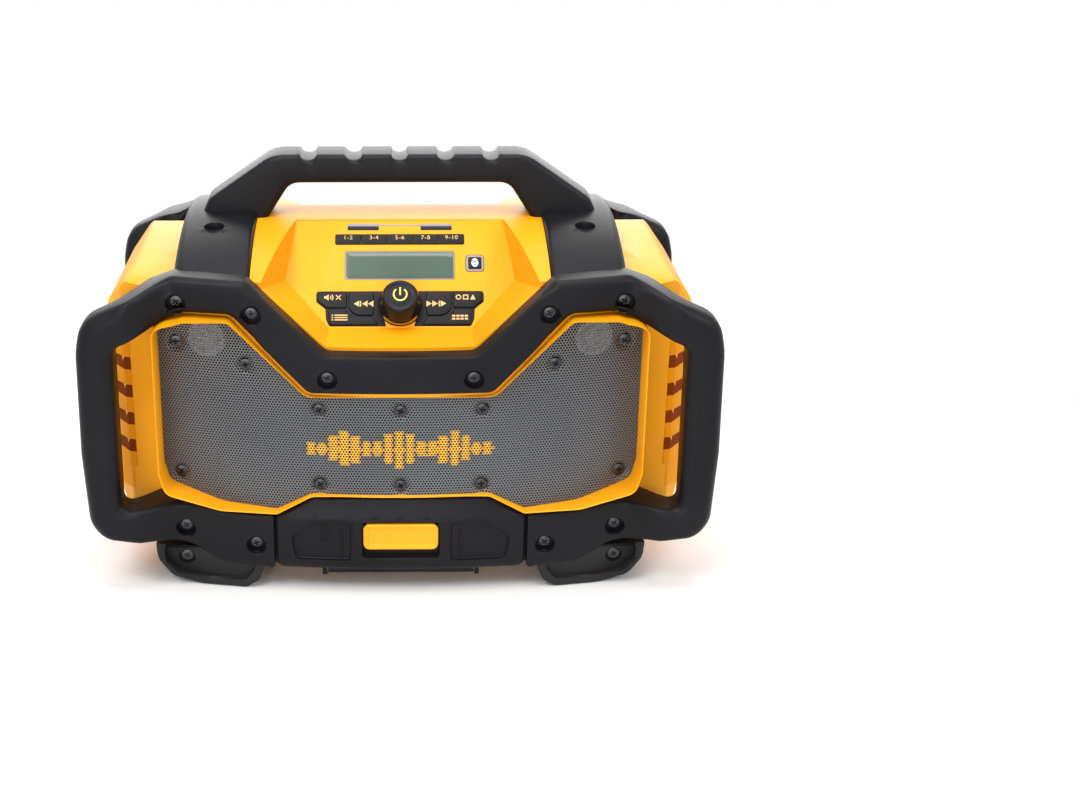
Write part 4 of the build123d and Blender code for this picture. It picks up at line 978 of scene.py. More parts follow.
def makeDoor():
    # plate with three pockets, a raised frame round the latch, and the hinge's knuckle on a thin web
    line = roundedLine(bothSides(door["outline"]), runStep=5)
    half, low, high, r = door["latchPocket"]
    holes = [(rectangleLine(-half, half, low, high, r), pocketRings(door["latchDepth"]))]
    for side in (-1, 1):
        corners = [(side * x, z, r) for x, z, r in door["pocket"]]
        holes.append((roundedLine(corners), pocketRings(door["pocketDepth"], door["pocketLip"])))
    (least, more), (fadeAt, fade) = door["edge"], door["edgeFade"]
    edge = least + more * smooth((fadeAt - np.abs(line[:, 0])) / fade)
    plate = plateParts(line, doorFront, flat(door["back"]), edge, door["backEdge"], holes, cell=5)
    opening = rectangleLine(-half, half, door["frameLow"], high, r)
    frameLine = roundedLine(door["frame"], runStep=5)
    frame = plateParts(frameLine, lambda x, z: doorFront(x, z) - door["frameRise"],
                       lambda x, z: doorFront(x, z) + 2.0, 0.8, 0.1, [(opening, door["frameLip"])], cell=5)
    knuckle = turned(door["knuckle"], door["pin"], (1, 0, 0), 24)
    front, back = door["webDepth"]
    web = plateParts(rectangleLine(*door["web"]), flat(front), flat(back), 0.3, 0.3, cell=40)
    addPiece("front_doorShell", joined([plate, frame, knuckle, web]), black, "storage_door", "black_shell",
             "front_door")
    marks = [doorMark(rectangleLine(*sides, 0), door["markRise"], 0.15, 2) for sides in door["marks"]]
    x, ribHalf, low, high, r = door["rib"]
    for middle in (-x, x):
        marks.append(doorMark(rectangleLine(middle - ribHalf, middle + ribHalf, low, high, r),
                              door["ribRise"], 0.5, 3))
    addPiece("doorMarks", joined(marks), black, "storage_door", "black_shell")


makeDoor()

gapLiner = {"sides": (91, 100, 20, 66, 0.5), "front": -118.4, "back": -110.5}


def makeGapLiner():
    # black strips behind the gaps between the door and the cage
    right = plateParts(rectangleLine(*gapLiner["sides"]), flat(gapLiner["front"]), flat(gapLiner["back"]),
                       0.5, 0.3, cell=20)
    addPiece("gapLiner", joined([right, mirrored(right)]), black, "radio", "black_shell")


makeGapLiner()

latch = {"half": 28.4, "low": 38.0, "high": 59.4, "front": -135.0, "back": -130.0, "round": 5.0, "edge": 1.7,
         "dish": 1.9, "dishStart": 2.0, "dishReach": 1.8,
         "pin": [(0, 0), (1.5, 0), (1.5, 64), (0, 64)], "pinStart": (-32, -132.6, 57.4)}


def latchFront(x, z):
    # dished: the face sinks smoothly a few millimetres in from each edge
    inside = np.minimum(latch["half"] - np.abs(x), np.minimum(z - latch["low"], latch["high"] - z))
    return latch["front"] + latch["dish"] * smooth((inside - latch["dishStart"]) / latch["dishReach"])


def makeLatch():
    # dished plate on a cross pin
    half = latch["half"]
    line = rectangleLine(-half, half, latch["low"], latch["high"], latch["round"], runStep=3)
    part = plateParts(line, latchFront, flat(latch["back"]), latch["edge"], 0.5, cell=1.6)
    addPiece("door_latchShell", part, latchYellow, "door_latch", "yellow_shell", "door_latch")
    pin = turned(latch["pin"], latch["pinStart"], (1, 0, 0), 20)
    addPiece("latchPins", pin, black, "door_latch", "black_shell")


makeLatch()


screwHead = {"armHalf": 0.62, "armFade": 0.3, "arm": 2.5, "endFade": 0.5, "recess": 1.5, "dome": 0.25,
             "rings": 13, "spokes": 48, "cage": (4.6, 2.8), "grille": (4.2, 2.4), "grilleSet": 3.4}


def crossHead(radius, height):
    # pan head with a cross recess: a polar grid whose height is a shallow dome, less a cross that sinks
    # where either arm's distance is small; it turns over to a straight wall with a flat back
    r = np.concatenate(([0.0], np.linspace(0.25, 1, screwHead["rings"] - 1))) * radius
    a = np.linspace(0, 2 * math.pi, screwHead["spokes"], endpoint=False)
    u, v = r[:, None] * np.cos(a), r[:, None] * np.sin(a)
    dome = height * (1 - screwHead["dome"] * (r / radius) ** 2)[:, None] + 0 * u
    longer, shorter = np.maximum(np.abs(u), np.abs(v)), np.minimum(np.abs(u), np.abs(v))
    arms = (smooth((screwHead["armHalf"] - shorter) / screwHead["armFade"])
            * smooth((screwHead["arm"] - longer) / screwHead["endFade"]))
    top = np.stack((u, v, dome - screwHead["recess"] * arms), -1)
    turnover = top[-1] * (1.03, 1.03, 0) + (0, 0, height * 0.55)
    foot = turnover * (1, 1, 0)
    points = np.concatenate((top.reshape(-1, 3), turnover, foot, foot * 0))
    return points, tubeFaces(screwHead["rings"] + 3, screwHead["spokes"])


def makeScrews(name, rows, size):
    # every screw is the same head turned by its own angle; rows are (x, y of the head's back, z, outward
    # direction along y, angle)
    head, faces = crossHead(*size)
    x, y, z, out, angle = (column[:, None] for column in np.array(rows, float).T)
    c, s = np.cos(angle), np.sin(angle)
    u, v, w = (axis[None] for axis in head.T)
    points = np.stack((x + (u * c - v * s), y + out * w, z + (u * s + v * c)), -1).reshape(-1, 3)
    allFaces = (faces[None] + (len(head) * np.arange(len(rows)))[:, None, None]).reshape(-1, 4)
    addPiece(name + "Heads", (points, [allFaces]), screwSteel, "radio", "screw_steel", name, angle=50)


def screwRows():
    # each screw's seat and an angle of its own, at the front and, facing the other way, at the back
    cages, grilles = [], []
    for number, (x, z) in enumerate(cage["screws"]):
        for side in (-1, 1):
            base = bowedFront(x) + screwBore["depth"]
            cages.append((side * x, base, z, -1, number * 1.1 + side))
            cages.append((side * x, -base, z, 1, number * 0.7 - side))
    for x, z in foot["screws"]:
        base = foot["screwBack"]
        for side in (-1, 1):
            cages += [(side * x, base, z, -1, 0.5 * side), (side * x, -base, z, 1, -0.3 * side)]
    for number, (x, z) in enumerate(grilleScrews):
        grilles.append((x, grilleFront(x, z) + screwHead["grilleSet"], z, -1, number * 0.9))
    return cages, grilles


cageRows, grilleRows = screwRows()
makeScrews("cage_screws", cageRows, screwHead["cage"])
makeScrews("grille_screws", grilleRows, screwHead["grille"])

bolt = {"seat": 262.0, "count": 30,
        "profile": [(0, -1.5), (2.6, -1.5), (2.7, 0), (5.2, 0), (6.3, -0.7), (6.5, -2), (6.5, -5),
                    (3, -5), (3, -34), (0, -34)]}


def makeBolts():
    # socket-headed bolts turned about z in the straps' four bores
    across, along = strap["bolt"]
    parts = [turned(bolt["profile"], (x, y, bolt["seat"]), (0, 0, 1), bolt["count"])
             for x in (-across, across) for y in (-along, along)]
    addPiece("shoulder_boltsHeads", joined(parts), screwSteel, "radio", "screw_steel", "shoulder_bolts")


makeBolts()


# speakers behind the grille: x, z and radius, and how far behind the grille they stand
speaker = {"woofer": (128.0, 134.0, 42.0), "tweeter": (143.0, 199.0, 12.0), "wooferSet": 8.0,
           "tweeterSet": 3.2, "skinUnder": 0.6, "skin": (-0.9, -0.1),
           "holeGrow": {"woofer": -1.0, "tweeter": 0.5}}


def speakerPlace(key, side):
    # front point and axis of a speaker that faces along the bowed grille's normal
    x, z, r = speaker[key]
    front = float(grilleFront(np.array(x), 0)) + speaker[key + "Set"]
    return (side * x, front, z), (-side * 2 * grille["bow"] * x, 1, 0), r


def wooferParts(side):
    place, axis, r = speakerPlace("woofer", side)
    cup = [(0, 21), (16, 21), (r - 7, 6.4), (r + 3, 6.4), (r + 3, 0), (r - 2, -0.5), (r - 4, 1.5), (r - 7, 2),
           (r - 9, -0.5), (14, 19), (12.5, 16.5), (8, 13.5), (0, 12.5)]      # back, rim, surround, cone, cap
    basket = [(0, 27), (21, 27), (r - 9, 7), (r - 8, 6), (22, 28), (27, 30), (27, 56), (0, 56)]
    return [turned(cup, place, axis, 64), turned(basket, place, axis, 40)]


def tweeterParts(side):
    place, axis, r = speakerPlace("tweeter", side)
    ring = [(r + 2, 6), (r + 2, 0), (r + 0.6, -0.6), (r - 0.6, 0), (r - 1.2, 2), (7.5, 5), (7.2, 6.5),
            (r + 2, 6)]
    dome = [(0, 6), (7.0, 6), (6.6, 3.6), (5.2, 1.6), (3, 0.4), (0, 0)]
    return [turned(ring, place, axis, 48), turned(dome, place, axis, 40)]


def makeSpeakers():
    # cones and domes are profiles turned about each speaker's axis; a black skin covers the wall round them
    addPiece("woofersCones", joined(wooferParts(-1) + wooferParts(1)), cone, "radio", "cone", "woofers")
    addPiece("tweetersDomes", joined(tweeterParts(-1) + tweeterParts(1)), chrome, "radio", "tweeter_metal",
             "tweeters")
    holes = []
    for side in (-1, 1):
        for key, grow in speaker["holeGrow"].items():
            x, z, r = speaker[key]
            holes.append((circle(side * x, z, r + grow, 40), [(0, 0), (0, None)]))
    front, back = speaker["skin"]
    skin = plateParts(inset(trimLine, grille["trim"] - speaker["skinUnder"]), lambda x, z: wallArc(x) + front,
                      lambda x, z: wallArc(x) + back, 0.1, 0.1, holes, cell=12, steps=1)
    addPiece("baffleSkin", skin, cone, "radio", "black_shell")


makeSpeakers()
print("door, screws and speakers")


# the wound cord: strands are (more radius, more depth) of each turn; tail and lead are given point by point
cord = {"radius": 3.5, "length": 1.62, "coilHalf": 56.0, "coilRadius": 34.0, "coilHeight": 121.5,
        "coilDepth": 111.0, "turns": 3, "strands": [(3.65, -3.5), (-3.65, -3.5), (-3.65, 3.5), (3.65, 3.5)],
        "flatPoints": 4, "bendPoints": 8, "bulge": 1.02, "shift": (0.66, 0.3), "lastPoint": 7,
        "tail": [(-134, 112.5, 79), (-123, 112.3, 79.5), (-108, 111.2, 80.9), (-90, 109.4, 82.6),
                 (-72, 108, 83.7)],
        "lead": [(91.8, 113.6, 136), (90.3, 114.0, 149), (91.8, 116.2, 163), (98.4, 118.6, 175.2),
                 (109.6, 119.5, 182), (123, 119.5, 182)]}


def coilPoints():
    # control points of the wound cord, running right along the bottom: a racetrack whose radius and
    # depth move from one strand's place to the next at the left end of every turn
    half = cord["coilHalf"]
    flatShare = np.linspace(0, 1, cord["flatPoints"], endpoint=False)
    step = 180 / cord["bendPoints"]
    bends = np.radians(np.arange(cord["bendPoints"]) * step + step / 2)
    track = [(-half + 2 * half * t, -1.0, 0.0, 0) for t in flatShare]
    track += [(half, -math.cos(a), math.sin(a), 1) for a in bends]
    track += [(half - 2 * half * t, 1.0, 0.0, 0) for t in flatShare]
    track += [(-half, math.cos(a), -math.sin(a), 1) for a in bends]
    shiftStart, shiftReach = cord["shift"]
    points = []
    for turn in range(cord["turns"] + 1):
        last = turn == cord["turns"]
        (r0, y0), (r1, y1) = cord["strands"][turn], cord["strands"][turn if last else turn + 1]
        for k, (x, up, out, bend) in enumerate(track[:cord["lastPoint"] + 1] if last else track):
            blend = smooth((k / len(track) - shiftStart) / shiftReach)
            radius = (cord["coilRadius"] + r0 + (r1 - r0) * blend) * (cord["bulge"] if bend else 1)
            points.append((x + out * radius, cord["coilDepth"] + y0 + (y1 - y0) * blend,
                           cord["coilHeight"] + up * radius))
    return points


def makeCord():
    # round sheath along a smooth curve through the tail, the coil and the lead
    line = bpy.data.curves.new("mainsCord", "CURVE")
    line.dimensions = "3D"
    route = np.array(cord["tail"] + coilPoints() + cord["lead"]) * mm
    spline = line.splines.new("NURBS")
    spline.points.add(len(route) - 1)
    spline.points.foreach_set("co", np.column_stack((route, np.ones(len(route)))).ravel())
    spline.order_u = 3
    spline.use_endpoint_u = True
    spline.resolution_u = 6
    line.bevel_depth = cord["radius"] * mm
    line.bevel_resolution = 5
    line.use_fill_caps = True
    line.materials.append(sheath)
    return settle(newObject("mainsCord", line), "radio", "cord_rubber", "cord_coil", "cord_tail", "cord_lead")


cordPiece = makeCord()

# the plug lies along x: its body runs from bodyStart over bodyLength, and the profiles are (radius, x)
plug = {"axis": (0.0, 119.5, 182.0), "pins": 9.5, "bodyStart": 132, "bodyLength": 36,
        "neck": [(0, 123.2), (4.6, 123.2), (5.2, 124), (5.6, 131)],
        "face": [(14.9, 169.4), (14.7, 171.2), (13.6, 172), (0, 172)],
        "girth": 8.2, "swell": 6.0, "pinch": 1.0, "rib": 0.45, "ribs": 7,
        "collar": [(0, 171), (2.35, 171), (2.35, 181.5), (2.0, 182), (0, 182)],
        "pin": [(0, 180), (2.0, 182.2), (2.4, 182.4), (2.4, 189.2), (1.6, 190.6), (0, 191)]}


def makePlug():
    # body turned about x: it swells from neck to face, is pinched by half a sine, and has cosine ribs
    # where fingers grip; two round pins stand in collars
    x, y, z = plug["axis"]
    a = np.linspace(0, 1, 34)
    wave = plug["rib"] * np.cos(a * 2 * math.pi * plug["ribs"])
    ribs = wave * smooth((a - 0.1) / 0.1) * smooth((0.72 - a) / 0.1)
    girth = plug["girth"] + plug["swell"] * smooth((a - 0.12) / 0.5) - plug["pinch"] * np.sin(a * math.pi)
    grip = list(zip(girth + ribs, plug["bodyStart"] + plug["bodyLength"] * a))
    profile = plug["neck"] + grip + plug["face"]
    body = turned(profile, plug["axis"], (1, 0, 0), 44)
    places = [(x, y, z + offset) for offset in (-plug["pins"], plug["pins"])]
    collars = [turned(plug["collar"], place, (1, 0, 0), 24) for place in places]
    pins = [turned(plug["pin"], place, (1, 0, 0), 24) for place in places]
    addPiece("mains_plugShell", joined([body] + collars), sheath, "radio", "cord_rubber", "mains_plug")
    return addPiece("plugPins", joined(pins), pinSteel, "radio", "pin_steel")


plugPins = makePlug()

relief = {"root": 5.6, "taper": 1.5, "ring": 0.35, "rings": 6, "length": 26, "flange": [(0, -2), (5.8, -2)],
          "tip": [(3.5, 26.6), (0, 26.6)]}


def makeRelief():
    # tapered sleeve with soft cosine rings that fade at the tip, turned about the cord's first run
    start, following = np.array(cord["tail"][0], float), np.array(cord["tail"][2], float)
    t = np.linspace(0, 1, 40)
    wave = 0.5 + 0.5 * np.cos(t * 2 * math.pi * relief["rings"])
    radius = relief["root"] - relief["taper"] * t - relief["ring"] * wave * smooth((0.95 - t) / 0.1)
    profile = relief["flange"] + list(zip(radius, relief["length"] * t)) + relief["tip"]
    sleeve = turned(profile, start, unit(following - start), 32)
    addPiece("strainRelief", sleeve, sheath, "radio", "cord_rubber")


makeRelief()
print("cord, relief and plug")


# control deck, all in deck coordinates: key corners are (u, v, radius) of the left half, marks stand a
# hair above the part that they are printed on
deck = {"step": 4, "partEdge": 0.15, "mat": 0.35, "matDepth": 3.5, "gap": 0.3, "keyRise": 0.9,
        "keyDepth": 2.3, "keyEdge": 0.55, "markGap": 0.06,
        "island": [(-63.4, -6.7, 3.2), (-9, -6.7, 0.3), (-13.1, -12.3, 3), (-13.5, -18.3, 5),
                   (-13.1, -24.8, 3), (-10.7, -35.3, 0.3), (-53.5, -35.3, 2.5), (-55.9, -29.6, 2.5),
                   (-56.4, -21.3, 2.5), (-63.4, -15.4, 2.5)],
        "keys": {"mute": [(-62, -7.8, 2.2), (-40.5, -7.8, 1.2), (-40.5, -20.2, 1.2), (-55.3, -20.2, 1.5),
                          (-62, -14.8, 1.5)],
                 "menu": [(-54.6, -22.2, 1.2), (-40.5, -22.2, 1.2), (-40.5, -28.2, 0.8), (-20.5, -28.2, 1.2),
                          (-16.8, -34.1, 0.5), (-52.6, -34.2, 1.8)],
                 "previous": [(-38.8, -7.8, 3), (-20.4, -7.8, 1), (-19.4, -18, 0), (-20.4, -26.4, 1.5),
                              (-38.8, -26.4, 9)]},
        "twins": {"mute": "mode", "menu": "memory", "previous": "next"}}
ink = plastic("goldInk", (0.80, 0.49, 0.17), (0.86, 0.54, 0.21), (0.5, 0.6), 700, 0.05)
brightInk = plastic("yellowInk", (0.93, 0.66, 0.10), (0.95, 0.70, 0.13), (0.45, 0.55), 700, 0.05)
whiteInk = plastic("whiteInk", (0.80, 0.80, 0.80), (0.86, 0.86, 0.86), (0.45, 0.55), 700, 0.05)
rimGrey = plastic("rimGrey", (0.26, 0.23, 0.25), (0.33, 0.29, 0.31), (0.25, 0.35), 900, 0.1)
knobBlack = plastic("knobBlack", (0.007, 0.007, 0.009), (0.010, 0.010, 0.013), (0.26, 0.34), 900, 0.08,
                    shine=0.22)
deckBlack = plastic("deckBlack", (0.0055, 0.005, 0.006), (0.008, 0.0075, 0.009), (0.4, 0.5), 1300, 0.3,
                    shine=0.2)


def onDeckPart(line, top, bottom, edge, holes=()):
    return plateParts(line, flat(-top), flat(bottom), edge, deck["partEdge"], holes, cell=7.0, place=onDeck,
                      steps=4)


def arcBand(u, v, inner, outer, start, end):
    # closed line of a ring's piece between two angles in degrees
    a = np.radians(np.linspace(start, end, 22))
    way = np.column_stack((np.cos(a), np.sin(a)))
    return np.concatenate((way * outer, way[::-1] * inner)) + (u, v)


def bar(left, low, right, high):
    # closed line of a plain rectangle
    return np.array([(left, low), (right, low), (right, high), (left, high)], float)


def slanted(line, degrees, u, v):
    # line turned about the origin, then moved
    c, s = math.cos(math.radians(degrees)), math.sin(math.radians(degrees))
    return line @ np.array([(c, s), (-s, c)]) + (u, v)


def decal(lines, u, v, height):
    # thin marks: each closed line filled flat, height above the deck
    parts = []
    for line in lines:
        line = np.asarray(line, float) + (u, v)
        _, faces = capBetween([line], 50.0)
        parts.append((onDeck(*line.T, np.full(len(line), -height)), [faces]))
    return joined(parts)


def wordsPart(words, size, u, v, height):
    # filled text outline laid on the deck, a little wider than its font
    curve = bpy.data.curves.new("words", "FONT")
    curve.body = words
    curve.size = size
    curve.align_x = curve.align_y = "CENTER"
    curve.space_character = 1.12
    curve.resolution_u = 4
    holder = bpy.data.objects.new("words", curve)
    made = bpy.data.meshes.new_from_object(holder)
    points = np.array([p.co for p in made.vertices])
    faces = [np.array([p.vertices[:]]) for p in made.polygons]
    bpy.data.objects.remove(holder)
    bpy.data.curves.remove(curve)
    bpy.data.meshes.remove(made)
    return onDeck(points[:, 0] * 1.08 + u, points[:, 1] + v, np.full(len(points), -height)), faces


def addMarks(name, part, body, material):
    return addPiece(name, part, material, body, "black_rubber", recalc=False)


# marks of the keys, each about its own middle: a loudspeaker with waves and a cross, a list, arrows back,
# a ring with a square and a triangle, and two rows of blocks; the next key has the arrows mirrored
arrow = np.array([(0, 0), (4.1, 2.5), (4.1, -2.5)])
stroke = bar(-2.6, -0.4, 2.6, 0.4)
icons = {"mute": [np.array([(-6.4, -1), (-5, -1), (-3, -2.5), (-3, 2.5), (-5, 1), (-6.4, 1)]),
                  arcBand(-3, 0, 1.4, 2.1, -48, 48), arcBand(-3, 0, 3.0, 3.7, -42, 42),
                  slanted(stroke, 45, 4.4, 0), slanted(stroke, -45, 4.4, 0)],
         "menu": [bar(left, v - 0.45, right, v + 0.45) for v in (-1.9, 0, 1.9)
                  for left, right in ((-6, -4.8), (-3.8, 6))],
         "previous": [arrow + (-7.6, 0), bar(-2.9, -2.3, -2.0, 2.3), arrow + (-1.3, 0), arrow + (3.2, 0)],
         "mode": [arcBand(-5.4, 0, 1.3, 2.1, 0, 359.9), bar(-2, -2, 2, -1.2), bar(-2, 1.2, 2, 2),
                  bar(-2, -1.2, -1.2, 1.2), bar(1.2, -1.2, 2, 1.2),
                  np.array([(3.4, -2), (7.6, -2), (5.5, 2.1)])],
         "memory": [bar(u, v, u + 2.4, v + 1.4) for v in (-1.9, 0.5) for u in (-6.1, -2.9, 0.3, 3.5)]}
icons["next"] = [line[::-1] * (-1, 1) for line in icons["previous"]]
iconPlaces = {"mute": (-51, -12), "menu": (-45.6, -28.4), "previous": (-27.4, -17.2), "mode": (49.6, -12),
              "memory": (45.2, -28.4), "next": (27.2, -17.2)}

lens = {"sides": (-41.8, 41.8, 2.8, 26.6, 2.4), "rim": 1.1, "rimSunk": 0.2, "rimEdge": 0.35,
        "glassSunk": 0.75, "glassOver": 0.2, "depth": 1.5, "lip": [(0.3, 0), (0, 0.3), (0, 0.9), (0, None)]}


def makeWindow():
    # glass sunk in a thin grey frame
    line = rectangleLine(*lens["sides"], deck["step"])
    inner = inset(line, lens["rim"])
    frameRing = onDeckPart(line, -lens["rimSunk"], lens["depth"], lens["rimEdge"], [(inner, lens["lip"])])
    glass = onDeckPart(inset(inner, -lens["glassOver"]), -lens["glassSunk"], lens["depth"], 0.1)
    addPiece("display_lensGlass", glass, window, "radio", "display_window", "display_lens")
    addPiece("lensRim", frameRing, rimGrey, "radio", "display_window")


def makeKeys():
    # each key and its mirrored twin, then the mats with a hole round every key
    height = deck["keyRise"] + deck["markGap"]
    for name, corners in deck["keys"].items():
        for label, way in ((name, corners), (deck["twins"][name], turnedOver(corners))):
            node = label + "_key"
            line = roundedLine(way, runStep=deck["step"])
            key = onDeckPart(line, deck["keyRise"], deck["keyDepth"], deck["keyEdge"])
            addPiece(node + "Shell", key, deckBlack, bodyOf(node), "black_rubber", node)
            addMarks(node + "Icon", decal(icons[label], *iconPlaces[label], height), bodyOf(node), ink)
    mats = []
    for turn in (list, turnedOver):
        holes = [(inset(roundedLine(turn(corners), runStep=deck["step"]), -deck["gap"]), [(0, 0), (0, None)])
                 for corners in deck["keys"].values()]
        mats.append(onDeckPart(roundedLine(turn(deck["island"]), runStep=3), -deck["mat"], deck["matDepth"],
                               0.15, holes))
    addPiece("keypad_matsShell", joined(mats), deckBlack, "radio", "black_rubber", "keypad_mats")


preset = {"words": ("1-2", "3-4", "5-6", "7-8", "9-10"), "pitch": 19.8, "low": 32.2, "high": 40.4,
          "round": 0.9, "rise": 0.6, "edge": 0.4, "textLevel": 37.6, "text": 4.6}


def makePresets():
    # five equal buttons in a row, each with its pair of numbers
    height = preset["rise"] + deck["markGap"]
    for i, words in enumerate(preset["words"]):
        node = f"preset_button_{i + 1}"
        middle = (i - 2) * preset["pitch"]
        half = preset["pitch"] / 2 - deck["gap"]
        sides = (middle - half, middle + half, preset["low"], preset["high"])
        line = rectangleLine(*sides, preset["round"], deck["step"])
        key = onDeckPart(line, preset["rise"], deck["keyDepth"], preset["edge"])
        addPiece(node + "Shell", key, deckBlack, bodyOf(node), "black_rubber", node)
        number = wordsPart(words, preset["text"], middle, preset["textLevel"], height)
        addMarks(node + "Number", number, bodyOf(node), ink)


wireless = {"sides": (50.4, 64.0, 9.4, 23.0, 3), "rim": 1.7, "rimRise": 0.45, "rise": 0.6, "edge": 0.5,
            "lip": [(0, 0), (0, 0.6), (0, None)],
            "oval": (2.7, 3.5), "middle": (57.2, 16.6), "ovalRise": 0.64,
            "waves": (1.3, 2.4, 3.5), "waveMiddle": (57.2, 16.4), "waveRise": 0.68}


def makeWireless():
    # grey rim round a black face with a white oval and three waves over a dot
    line = rectangleLine(*wireless["sides"], deck["step"])
    top = inset(line, wireless["rim"])
    rim = onDeckPart(line, wireless["rimRise"], deck["keyDepth"], wireless["edge"], [(top, wireless["lip"])])
    face = onDeckPart(inset(top, 0.02), wireless["rise"], 2.2, wireless["edge"])
    body = bodyOf("wireless_button")
    addPiece("wireless_buttonRim", rim, rimGrey, body, "black_rubber", "wireless_button")
    addPiece("wirelessFace", face, knobBlack, body, "black_rubber")
    oval = circle(0, 0, 1, 36) * wireless["oval"]
    addMarks("wirelessOval", decal([oval], *wireless["middle"], wireless["ovalRise"]), body, whiteInk)
    waves = [arcBand(0, -1.6, r, r + 0.5, 42, 138) for r in wireless["waves"]] + [circle(0, -1.6, 0.55, 14)]
    addMarks("wirelessWaves", decal(waves, *wireless["waveMiddle"], wireless["waveRise"]), body, deckBlack)


# profiles are (radius, height above the deck): the knob from its bore over skirt, waist and rounded
# shoulder to a glossy disc, and the thin ring round its foot
knob = {"v": -18.3,
        "profile": [(0, 14.0), (3.05, 14.0), (3.05, 1.3), (15.1, 1.3), (15.5, 1.7), (15.5, 5.2), (15.4, 6.6),
                    (15.2, 8.6), (14.9, 11.0), (14.5, 13.2), (14.0, 15.2), (13.4, 16.7), (12.8, 17.7),
                    (12.2, 18.4), (11.6, 18.8), (11.1, 18.9), (10.9, 18.85), (10.6, 18.5), (9.0, 18.5),
                    (6.0, 18.62), (3.0, 18.7), (0, 18.72)],
        "ring": [(16.0, 0.02), (16.15, 0.35), (16.6, 0.45), (16.95, 0.3), (17.1, 0.02), (16.0, 0.02)],
        "power": [arcBand(0, 0, 4.3, 5.5, 128, 412), bar(-0.6, -0.8, 0.6, 5.6)], "powerUp": 1.3,
        "powerRise": 18.8}


def makeKnob():
    # both profiles are turned about the deck's normal
    centre = deckOrigin + knob["v"] * deckUp
    shell, ring = (turned(knob[key], centre, deckOut, 72) for key in ("profile", "ring"))
    power = decal(knob["power"], 0, knob["v"] + knob["powerUp"], knob["powerRise"])
    addPiece("knobShell", shell, knobBlack, bodyOf("knob"), "black_shell", "knob", angle=60)
    addMarks("powerMark", power, bodyOf("knob"), brightInk)
    addPiece("knobRing", ring, deckBlack, "radio", "black_shell", angle=60)


# inlay bars above the presets: (left, right, low, high, radius), how far they rise and their edge
inlay = {"side": 28, "half": 12, "dark": (44, 47.3, 0.9, 0.3, 0.35), "light": (47.3, 49.6, 0.6, 0.22, 0.3),
         "link": (-16, 16, 47.6, 48.8, 0.2), "linkRise": 0.2, "linkEdge": 0.15, "depth": 0.8}


def inlayBar(side, low, high, r, rise, edge):
    # rounded bar centred on the inlay's left or right place
    middle = side * inlay["side"]
    line = rectangleLine(middle - inlay["half"], middle + inlay["half"], low, high, r, deck["step"])
    return onDeckPart(line, rise, inlay["depth"], edge)


def makeInlay():
    # two dark bars with lighter grey tops and a thin light link that joins them; the tops and the link are a
    # painted highlight, standing in for glare on the bars' upper faces
    dark = [inlayBar(side, *inlay["dark"]) for side in (-1, 1)]
    light = [inlayBar(side, *inlay["light"]) for side in (-1, 1)]
    light.append(onDeckPart(rectangleLine(*inlay["link"], deck["step"]), inlay["linkRise"], inlay["depth"],
                            inlay["linkEdge"]))
    addPiece("panel_inlayShell", joined(dark), knobBlack, "radio", "black_shell", "panel_inlay")
    addPiece("inlayPaintedGlare", joined(light), rimGrey, "radio", "black_shell")


makeWindow()
makeKeys()
makePresets()
makeWireless()
makeKnob()
makeInlay()
print("control deck")


# corner louvres: columns run round the housing's corner from (x, y) to (x, y) with their outward normals;
# deep is how far a slat sinks under the ledge above it, proud how far its foot stands out, and skin what
# keeps its top off the wall; the lowest strip is a plain cover and the highest slat isn't sunk
louvre = {"slats": [98.5, 121, 143.5, 166, 188.5], "cover": 76, "half": 9.5, "over": 3.2, "wall": 0.6,
          "face": [(203.4, -83.6), (204, -83.3), (208, -82), (211.5, -78), (215, -74), (218.5, -70),
                   (222, -66), (223, -62), (223, -51.1)],
          "normal": [(0.32, -0.95), (0.32, -0.95), (0.55, -0.83), (0.75, -0.66), (0.75, -0.66), (0.75, -0.66),
                     (0.9, -0.43), (1, 0), (1, 0)],
          "deep": [0, 0, 0, 1.0, 2.4, 3.5, 4.3, 4.2, 1.8],
          "proud": [0.1, 1.0, 1.5, 1.6, 1.6, 1.6, 1.6, 1.4, 0.3],
          "skin": [0.06, 0.14, 0.16, 0.05, -0.1, -0.1, -0.1, -0.1, -0.1], "plainSkin": 0.08,
          "fall": [0, 0.15, 0.3, 0.45, 0.6, 0.8, 0.97, 1.0], "swell": 0.8, "sink": 1.3, "tuck": 0.5,
          "shadeRows": 3}
# painted shade: a dark brown-orange on the top rows of every slat, also where the slat isn't sunk, standing
# in for the shade under each ledge
paintedShadeOrange = plastic("paintedShadeOrange", (0.19, 0.030, 0.0006), (0.25, 0.042, 0.001), (0.6, 0.7), 1500, 0.2,
                     shine=0.04)
# painted shade: the blades are a darker, redder copy of the shell's orange, for the shade on the side-facing
# louvres
slatShadedOrange = plastic("slatShadedOrange", (0.86, 0.30, 0.002), (0.9, 0.33, 0.004), (0.5, 0.6), 1500, 0.2, shine=0.1)


